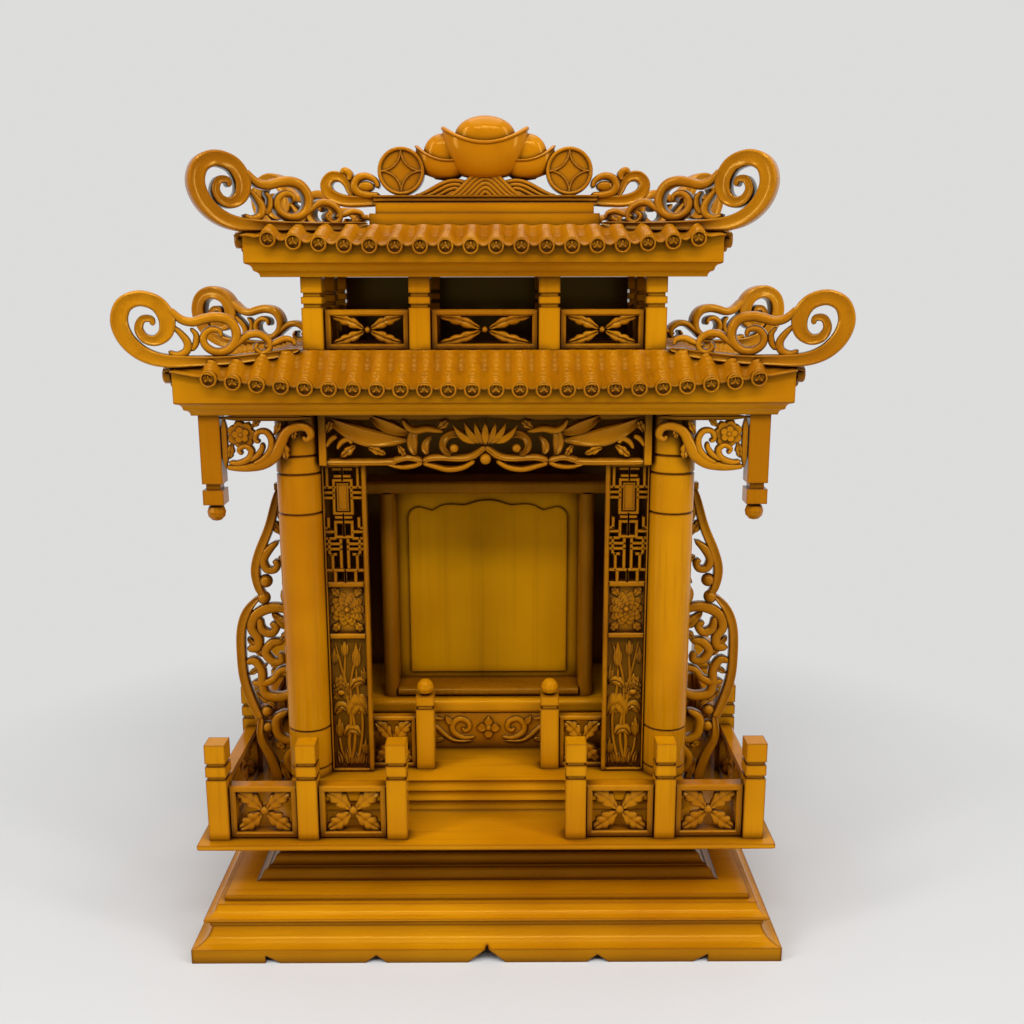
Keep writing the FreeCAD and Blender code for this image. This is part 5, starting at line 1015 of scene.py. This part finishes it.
def ingot(half_width=INGOT_HALF_WIDTH, seat=622.6, rim=649.8, horn=12.6, dome=674.0, count=48):
    """Bowl: half width 35 (0.24 + 0.76 sqrt(1 - (1 - v)^2)), half depth 17 of the same, rim height = rim +
    horn cos^2; casting inside it: an ellipsoid of half axes 25, 13 and 16, made from under its middle up."""
    turn = np.linspace(0, 2 * np.pi, count, endpoint=False)
    top = rim + horn * np.cos(turn)**2
    k = half_width / INGOT_HALF_WIDTH

    def ring(a, b, height):
        """Ellipse of half axes a and b at that height."""
        return np.stack([a * np.cos(turn), b * np.sin(turn), height + 0 * turn], -1)

    rings = [ring(7 * k, 3.5 * k, seat)]
    for v in np.linspace(0.0, 1.0, 12):
        swell = k * (0.24 + 0.76 * math.sqrt(1 - (1 - v)**2))
        height = seat + 0.8 + (top - seat - 0.8) * v**1.1
        rings.append(ring(INGOT_HALF_WIDTH * swell, INGOT_HALF_DEPTH * swell, height))
    for lip, up in INGOT_LIP:
        rings.append(ring(INGOT_HALF_WIDTH * k + lip, INGOT_HALF_DEPTH * k + lip, top + up * k))
    half_x, half_y, half_z = INGOT_CAST
    cast = []
    for v in np.sin(np.linspace(-0.95, 1.5, 16)):
        swell = k * math.sqrt(1 - v**2)
        cast.append(ring(half_x * swell, half_y * swell, dome + half_z * (v - 1)))
    return [rings_part(np.array(rings)), rings_part(np.array(cast))]


def leaned(part, pivot_x, pivot_z, degrees, shift=(0, 0, 0)):
    """A part leaned in the XZ plane about a pivot: x' = x cos + z sin, z' = z cos - x sin."""
    points, quads, tris = part
    a = math.radians(degrees)
    x, z = points[:, 0] - pivot_x, points[:, 2] - pivot_z
    turned = np.stack([pivot_x + x * math.cos(a) + z * math.sin(a), points[:, 1],
                       pivot_z + z * math.cos(a) - x * math.sin(a)], -1)
    return turned + np.array(shift, float), quads, tris


SMALL_SEAT = 624.4
carve("ingot_middle_cast", ingot(), "ingot_middle", ingot_gold)
small = [leaned(part, 0, SMALL_SEAT, -8.0, (37.0, 2.5, -1.0))
         for part in ingot(23.5, SMALL_SEAT, 638.6, 8.5, 661.6)]
carve("ingots_side_cast", both(small), "ingots_side", ingot_gold)

# %% Coins: a disc with a raised rim and four arcs that leave a cusped square
COIN = np.array([69.0, 630.0])
COIN_RADIUS = 19.2
rim_radius = COIN_RADIUS - 1.5
reach = COIN_RADIUS - 2.6
rim_line = curl(COIN, rim_radius, rim_radius, 0, 359.5, 3.2, 3.2, 56)
coin = [boss(COIN, (rim_radius, rim_radius), 0.4, -5.0, 5.0, count=40, rings=3),
        band(rim_line, 1.6, -5.6, 5.6, crowned, 7, start_round=False, end_round=False)]
for sx, sz, start in ((-1, -1, 0), (-1, 1, 270), (1, -1, 90), (1, 1, 180)):
    arc = curl(COIN + (sx * reach, sz * reach), reach, reach, start, start + 90, 1.9, 1.9, 18)
    coin.append(band(arc, 1.5, -5.2, 3.0, crowned, 7, start_round=False, end_round=False))
carve("coin_faces", both(both(coin, 1)), "ridge_coins")

# %% Mounds, scrolls and the strip under them
STRIP = ((0.0, 8.0), (0.0, 6.6), (1.1, 6.0), (1.1, 5.2), (0.0, 4.6), (0.0, 3.4), (1.1, 2.8), (1.1, 2.0),
         (0.0, 1.4), (0.0, 0.0))
STRIP_HALF_DEPTH = 8.0
STRIP_Z = 603.0
profile = [(-STRIP_HALF_DEPTH + inset, STRIP_Z + up) for inset, up in STRIP]
profile = np.array(profile + [(-y, z) for y, z in profile[::-1]])
stations = [np.column_stack([np.full(len(profile), x), profile]) for x in (-92.0, -46.0, 0.0, 46.0, 92.0)]
crest_parts = [rings_part(np.array(stations))]
CREST_BANDS = (
    ([(84, 606.6, 7.4), (104, 606.2, 9.0), (118, 607.2, 10.0), (128, 612.0, 10.0), (131.0, 619.6, 9.6),
      (126.4, 625.6, 9.0), (119.0, 625.4, 8.0), (114.2, 620.6, 6.6), (112.0, 614.6, 5.0), (109, 609.5, 3.0)],
     hollowed, 2.6),
    ([(87, 611.6, 4), (95, 610.8, 6.4), (104.0, 612.8, 7.0), (107.8, 618.0, 7.0), (105.0, 624.2, 6.6),
      (97.6, 626.2, 6.0), (90.4, 622.6, 5.0), (88.0, 616.5, 4.0)], crowned, 2.8),
    ([(112, 622, 3.6), (111.4, 627.6, 6.0), (115.4, 630.6, 5.6), (118.4, 628.0, 3.6)], crowned, 2.4),
)
for rows, section, rise in CREST_BANDS:
    crest_parts += both([band(flow(rows, 5), rise, -4.6, 9.2, section, two_faced=True)])
crest_parts += both(both([boss((98.2, 618.0), (7.0, 4.4), 2.6, -4.4, 4.4)]), 1)
MOUND_Z = 610.0


def mound(middle, half_width, height, ridges, depth):
    """Hump of height * (0.5 + 0.5 cos(pi x / half width))^0.85 with even ridges inside its outline: a solid
    board behind, and on it bands along the same curve at shares 1, 1 - 1/n, ... of its size."""
    parts = []
    x = np.linspace(-half_width, half_width, 33)
    rise = height * (0.5 + 0.5 * np.cos(np.pi * x / half_width))**0.85
    low = np.stack([middle + x, 0 * x, 0 * x + MOUND_Z + 0.6], -1)
    high = np.stack([middle + x, 0 * x, MOUND_Z + 0.8 + rise * 0.98], -1)
    ring = np.concatenate([low, high[::-1]])
    parts.append(rings_part(np.stack([ring + (0, y, 0) for y in (-depth, 0, depth)])))
    for k in range(ridges):
        share = 1 - k / ridges
        width = np.full(len(x), 1.085 * height / ridges)
        line = np.column_stack([middle + x * share, MOUND_Z + rise * share, width])
        parts.append(band(line, 1.5, -depth, 2 * depth, crowned, 7, True))
    return parts


crest_parts += mound(0.0, 30.0, 20.6, 6, 6.6) + both(mound(25.0, 34.0, 12.6, 4, 5.0))
carve("crest_carving", crest_parts, "ridge_crest")

# %% [markdown]
# ## Wings beside the room
# A tall pierced wing fills the side of the deck behind each column. Its outer edge is one long strap
# that swells and draws in like a gourd. Curls roll inward from the strap, and small leaves and round
# berries close the gaps. Rows are read as (x, z, width), and the wing is carved on both faces.

# %% Wing carving
WING_Y = -35.0
WING_FACES = (-39.6, -30.4)
CURL_WIDENING = 1.25
WING_STRAPS = (
    [(174, 374.6, 3), (177.5, 362, 7), (184.5, 338, 8), (194, 316, 8), (198, 300, 8), (196, 285, 7),
     (191, 276, 5)],
    [(196, 277, 4), (207, 264, 7.5), (213, 246, 8), (214, 220, 8), (212.5, 201, 8), (207.5, 182.5, 8),
     (201, 166, 7)],
    [(199.5, 168, 5), (201, 147, 7), (193.5, 129, 8), (188.5, 113, 9), (188.0, 101.4, 9)],
)
WING_CURLS = (
    [(177, 326, 3), (186, 318, 6), (191, 309, 6), (188, 301, 5.5), (181, 301, 5), (179, 306.5, 4.6),
     (183, 308, 3.6)],
    [(157, 364, 3), (166, 362, 6), (173, 353, 6.4), (171, 343, 6), (163.5, 341.5, 5.4), (160.5, 348, 4.8),
     (165, 350.5, 3.6)],
    [(157, 314, 3), (165.5, 318, 6), (171, 328, 6), (167, 335, 5.4), (160.8, 331.5, 4.6),
     (163.6, 327.5, 3.4)],
    [(209, 230, 4), (200.5, 230.5, 6.4), (198.5, 239, 6.8), (204, 248.5, 6.8), (200, 260, 7.4),
     (189, 266, 7.4), (176, 266, 6.4), (166, 259, 5.4), (162, 250, 3.4)],
    [(196.5, 258, 4), (195, 247, 6), (187, 243.5, 6), (182.5, 250, 5.4), (188, 252.5, 4)],
    [(176, 236, 4), (186.5, 235, 6.4), (193, 226.5, 6.4), (187, 218, 6), (179, 219, 5.4), (181, 226, 4.2)],
    [(210.5, 217, 4), (203, 218.5, 6), (197, 209, 6), (197.5, 197, 6.4), (194, 187, 6.4), (180, 185, 6.4),
     (169, 191, 5)],
    [(206, 199, 4), (197, 197.5, 5.4), (187.5, 201.5, 5.4), (181, 209.5, 5), (172, 210.5, 5),
     (168, 203.5, 4.4), (172.5, 200.5, 3.4)],
    [(157, 293, 3), (165.5, 289, 6), (173.5, 280, 6.4), (172, 271.5, 5.6), (165.6, 272.5, 4.8),
     (166.5, 278, 3.6)],
    [(157, 226, 3.4), (164.5, 221, 6), (163, 212, 5), (158, 214.5, 3.6)],
    [(176, 172, 4), (186.5, 164, 6.4), (185, 149, 6.4), (175, 144, 5.8), (168.8, 150.5, 5),
     (173.6, 155.5, 4)],
    [(160, 141, 4), (170.5, 137.5, 6), (178.5, 127, 6.4), (175, 116.5, 5.8), (167, 116, 4.6),
     (169.4, 122, 3.6)],
)
WING_LEAVES = (((158, 374), (173, 367), 9.0), ((172, 330), (181, 343), 9.5), ((158, 303), (178, 312), 10.0),
               ((176, 288), (161, 301), 9.5), ((186, 262), (166, 243), 10.5), ((208, 240), (195.5, 222), 8.5),
               ((157, 252), (163, 230), 9.5), ((192, 215), (209, 206), 7.0), ((171, 246), (180, 236), 7.5),
               ((176, 182), (158, 172), 10.5), ((203, 190), (186, 176), 8.0), ((158, 165), (160, 146), 9.5),
               ((188, 144), (180, 136), 7.5), ((184, 124), (177, 103), 9.0), ((158, 188), (171, 181), 7.0))
WING_BERRIES = ((189.9, 290.5, 6.0), (192.4, 275.5, 6.0), (194.5, 171.6, 5.5), (194.3, 156.7, 5.5))
WING_EDGES = ((143.85, 157.4, 127.6, 376.0), (157.4, 178.4, 370.4, 376.0), (150.0, 158.6, 100.4, 127.6),
              (158.6, 192.4, 100.4, 106.4))
wing = [band(flow(rows, 5), 2.4, WING_Y - 3.0, 6.0, hollowed, two_faced=True, end_round=False)
        for rows in WING_STRAPS]
for rows in WING_CURLS:
    wider = np.array(rows, float) * (1, 1, CURL_WIDENING)
    wing.append(band(flow(wider, 4), 2.4, WING_Y - 2.6, 5.2, crowned, two_faced=True))
wing += [frond(root, tip, width, 1.7, WING_Y, 4.0, 2.5) for root, tip, width in WING_LEAVES]
wing += [ball(x, WING_Y, z, radius) for x, z, radius in WING_BERRIES]
wing += [plate(*edge, *WING_FACES) for edge in WING_EDGES]
carve_twins("wing_carving", wing, "wing", *RIGHT_LEFT)

# %% [markdown]
# ## Screens in front of the room
# Each screen is one board with three fields: fretwork of thin bars, a square medallion with a flower
# of many petals, and a tall lotus panel in low relief. The bars are boxes on one grid, half of them
# drawn and the other half mirrored about the middle. A petal ring is a set of cupped blades whose
# tips lie evenly on a circle.

# %% Fretwork
SCREEN_FACES = (-66.0, -58.0)
SCREEN_MIDDLE = 117.0
FRET_FACES = (-65.2, -58.8)
FRET_WIDTH = 2.6
FRET_BEVEL = 0.6
FRET_UPRIGHTS = ((0, 393.4, 383.7), (12.6, 393.4, 377.7), (0, 349.6, 355.6), (12.6, 351.0, 343.6),
                 (0, 348.8, 337.6), (12.6, 321.2, 334.8), (3.0, 333.4, 310.0), (0, 306.6, 297.6),
                 (8.4, 306.6, 297.6), (10.2, 321.2, 308.0))
FRET_LEVELS = ((0, 7.0, 393.0), (0, 5.8, 387.0), (5.8, 15.8, 377.7), (7.4, 15.8, 373.4), (7.4, 15.8, 369.0),
               (12.6, 15.8, 343.6), (0, 5.8, 352.6), (7.6, 15.8, 340.4), (7.6, 15.8, 334.8),
               (3.0, 15.8, 330.2), (3.0, 15.8, 325.8), (7.6, 12.6, 321.2), (0, 15.8, 307.6))
FRET_FRAMES = ((8.5, 354.7, 384.8), (8.1, 334.7, 349.9))


def bar(x0, x1, z0, z1):
    """Fret bar as a bevelled box between its two ends, half a width wider on every side."""
    (left, right), (low, high), half = sorted((x0, x1)), sorted((z0, z1)), FRET_WIDTH / 2
    return plate(left - half, right + half, low - half, high + half, *FRET_FACES, FRET_BEVEL)


fret = [bar(sign * x, sign * x, z0, z1) for x, z0, z1 in FRET_UPRIGHTS for sign in (-1, 1)]
fret += [bar(sign * x0, sign * x1, z, z) for x0, x1, z in FRET_LEVELS for sign in (-1, 1)]
for half, low, high in FRET_FRAMES:
    fret.append(frame_bar(-half, half, low, high, FRET_WIDTH, *FRET_FACES, FRET_BEVEL))
fret.append(plate(-4.5, 4.5, 358.4, 380.9, SCREEN_FACES[0] + 1.4, SCREEN_FACES[1] - 1.4, 0.6))
fret.append(frame_bar(-4.9, 4.9, 358.0, 381.3, 1.4, SCREEN_FACES[0] + 0.6, SCREEN_FACES[1] - 0.8, 0.5))
fret = [moved(part, (SCREEN_MIDDLE, 0, 0)) for part in fret]
print("fret bars:", len(fret))

# %% Screen boards and medallion
FIELD_Y = -60.6
FIELD_BACK = -58.6
FIELD_X = (101.6, 132.2)
SCREEN_LEVELS = (127.6, 397.3)
RAIL_DEPTHS = (-65.6, -58.4)
SCREEN_RAILS = ((394.6, 397.3, 0.5), (293.0, 297.6, 1.0), (248.0, 252.4, 1.0), (127.6, 130.4, 0.8))
MEDALLION = np.array([SCREEN_MIDDLE, 272.9])
MEDALLION_RINGS = ((16.6, 10, 9.4, 2.2, 0.0), (13.0, 9, 8.2, 3.0, 0.35), (9.6, 8, 6.6, 3.7, 0.1),
                   (6.4, 6, 5.0, 4.3, 0.4))


def petals(centre, radius, count, width, rise, start, root=0.1):
    """Ring of cupped petals round a centre, their tips at the given radius."""
    ring = []
    for turn in start + 2 * np.pi * np.arange(count) / count:
        way = radius * np.array([math.cos(turn), math.sin(turn)])
        ring.append(blade(centre + way * root, centre + way, width, rise, FIELD_Y + 0.6, 1.0, 0.0, cupped,
                          10, 1.25))
    return ring


screen = fret + [plate(98.0, FIELD_X[0], *SCREEN_LEVELS, *SCREEN_FACES, 1.0),
                 plate(FIELD_X[1], 133.75, *SCREEN_LEVELS, *SCREEN_FACES, 0.5)]
screen += [plate(*FIELD_X, low, high, *RAIL_DEPTHS, bevel) for low, high, bevel in SCREEN_RAILS]
screen.append(plate(*FIELD_X, 252.4, 293.0, FIELD_Y, FIELD_BACK, 0.2))
for ring in MEDALLION_RINGS:
    screen += petals(MEDALLION, *ring)
screen.append(boss(MEDALLION, (2.9, 2.9), 5.2, FIELD_Y, 0.5))
for corner in ((-1, -1), (-1, 1), (1, -1), (1, 1)):
    root, tip = MEDALLION + corner * np.array([[6.5, 11.5], [12.4, 19.4]])
    screen.append(frond(root, tip, 8.5, 1.4, FIELD_Y, 1.6, 2.5, two_faced=False))
print("screen parts:", len(screen))

# %% Lotus panel
LOTUS_FACE = FIELD_Y + 0.4
LOTUS_STEMS = (
    [(114.0, 131.0, 4.0), (109.0, 152.0, 3.6), (107.0, 176.0, 3.4), (110.6, 200.0, 3.2), (111.4, 222.0, 2.6)],
    [(117.0, 131.0, 4.2), (119.5, 152.0, 4.0), (117.0, 176.0, 3.6), (121.6, 206.0, 3.4), (120.0, 236.0, 2.6)],
    [(118.5, 131.0, 3.8), (114.0, 160.0, 3.6), (116.8, 190.0, 3.2), (114.8, 216.0, 3.0), (105.6, 244.0, 2.2)],
    [(120.0, 131.0, 3.4), (126.0, 146.0, 3.2), (127.6, 158.0, 2.6)],
    [(117.6, 196.0, 3.0), (124.0, 222.0, 3.0), (128.6, 244.0, 2.2)],
)
LOTUS_BUDS = ((110.8, 232.0, 9.0, 24.0), (120.4, 238.6, 7.0, 17.0), (127.0, 167.0, 8.0, 20.0),
              (105.2, 149.0, 6.6, 16.0), (104.6, 216.0, 5.6, 15.0), (129.0, 232.0, 5.4, 18.0))
LOTUS_LEAVES = (
    [(102.6, 176.0, 3.0), (105.0, 184.0, 13.0), (110.0, 188.0, 20.0), (115.6, 184.0, 15.0),
     (118.6, 176.0, 4.0)],
    [(119.0, 181.0, 3.0), (123.0, 186.0, 9.0), (128.0, 184.5, 11.0), (131.6, 178.0, 3.0)],
    [(103.0, 205.0, 2.0), (107.0, 209.0, 8.0), (113.0, 207.0, 9.0), (117.0, 201.0, 2.5)],
    [(109.0, 158.0, 2.0), (113.0, 164.0, 9.0), (119.0, 164.5, 10.0), (123.6, 158.0, 2.5)],
)
SHOOT_Z = 131.5
LOTUS_SHOOTS = ((104.0, (103.6, 143.0), 6.0), (110.0, (107.0, 147.0), 7.0), (113.0, (114.0, 144.0), 7.0),
                (121.0, (123.0, 149.0), 7.4), (127.0, (129.8, 146.0), 6.4), (117.5, (118.0, 141.0), 6.0))
BLOOM = np.array([124.6, 200.0])
BLOOM_RINGS = ((15.0, 9, -32, 6.8, 2.2), (10.5, 7, -18, 5.6, 3.2), (6.6, 5, 0, 4.4, 4.2))
lotus = [band(flow(rows, 5), 2.2, FIELD_Y + 0.6, 1.0, crowned, 7) for rows in LOTUS_STEMS]
for x, z, width, tall in LOTUS_BUDS:
    foot = z - tall / 2
    for lean, share in ((-2.6, 0.72), (2.6, 0.72), (0.0, 1.0)):
        tip = (x + lean, foot + tall * share)
        lotus.append(blade((x, foot), tip, width * 0.66, 2.0 + share, LOTUS_FACE, 1.0, 0.0, cupped,
                           plump=0.9))
for reach, count, start, width, rise in BLOOM_RINGS:
    for turn in np.radians(np.linspace(start, 180 - start, count)):
        way = np.array([0.52 * math.cos(turn), math.sin(turn)])
        root, tip = BLOOM + way * 1.5, BLOOM + way * reach
        lotus.append(blade(root, tip, width, rise, LOTUS_FACE, 1.0, 0.0, cupped, plump=1.2))
lotus.append(boss(BLOOM - (0, 1), (4.2, 3.0), 3.8, FIELD_Y, 0.5))
lotus += [band(flow(rows, 5), 2.8, LOTUS_FACE, 1.0, veined, 13) for rows in LOTUS_LEAVES]
for x, tip, width in LOTUS_SHOOTS:
    lotus.append(blade((x, SHOOT_Z), tip, width, 2.8, LOTUS_FACE, 1.0, 0.05, veined))
carve_twins("screen_carving", screen + lotus, "screen", *RIGHT_LEFT, relief)
ground = plate(*FIELD_X, 130.4, 248.0, FIELD_Y, FIELD_BACK, 0.2)
make_piece("lotus_grounds", both([ground]), ground_painted_shade)

# %% [markdown]
# ## Apron under the shelf
# The shelf's front is a board with a flat band of carving: a four-petalled flower in the middle, and a
# scroll, a bud and a long wave to each side.

# %% Apron carving
APRON_Y = -18.0
APRON_BANDS = (
    [(12, 139, 3), (22, 137.5, 5), (31, 142.5, 5.8), (32.5, 150, 5.8), (26.5, 155.8, 5.8), (19, 153.5, 5.4),
     (17.2, 147.5, 4.8), (21, 144.5, 4.2), (24, 148, 3)],
    [(14, 135, 2.5), (30, 135.0, 3.5), (39, 140.5, 4.4), (48, 149, 4.6), (60, 151, 4.4), (72, 146, 4.2),
     (84, 140, 4.2), (96, 142, 3.4)],
    [(40, 156, 2.5), (50, 157, 4.0), (60, 158, 4.0), (74, 154.5, 3.0)],
)
APRON_FLOWER = np.array([0, 147.4])
apron = [band(flow(rows, 5), 2.0, APRON_Y + 0.3, 1.0, crowned, 7) for rows in APRON_BANDS]
apron.append(blade((33.5, 150.5), (38.5, 159.4), 6.4, 2.2, APRON_Y, 1.0, 0.0, cupped))
apron.append(blade((40, 137), (50, 134.5), 5.0, 1.6, APRON_Y, 1.0, 0.0, veined))
apron = both(apron)
for turn in np.radians([0, 90, 180, 270]):
    way = np.array([math.cos(turn), math.sin(turn)])
    root, tip = APRON_FLOWER + way, APRON_FLOWER + 11.0 * way
    apron.append(blade(root, tip, 9.0, 2.6, APRON_Y, 1.0, 0.0, cupped, plump=0.9))
apron.append(boss(APRON_FLOWER, (3.2, 3.2), 3.4, APRON_Y, 0.5))
apron.append(plate(-142.0, 142.0, 127.6, 161.6, -17.5, -9.5, 0.3))
carve("apron_carving", apron, "altar_apron")
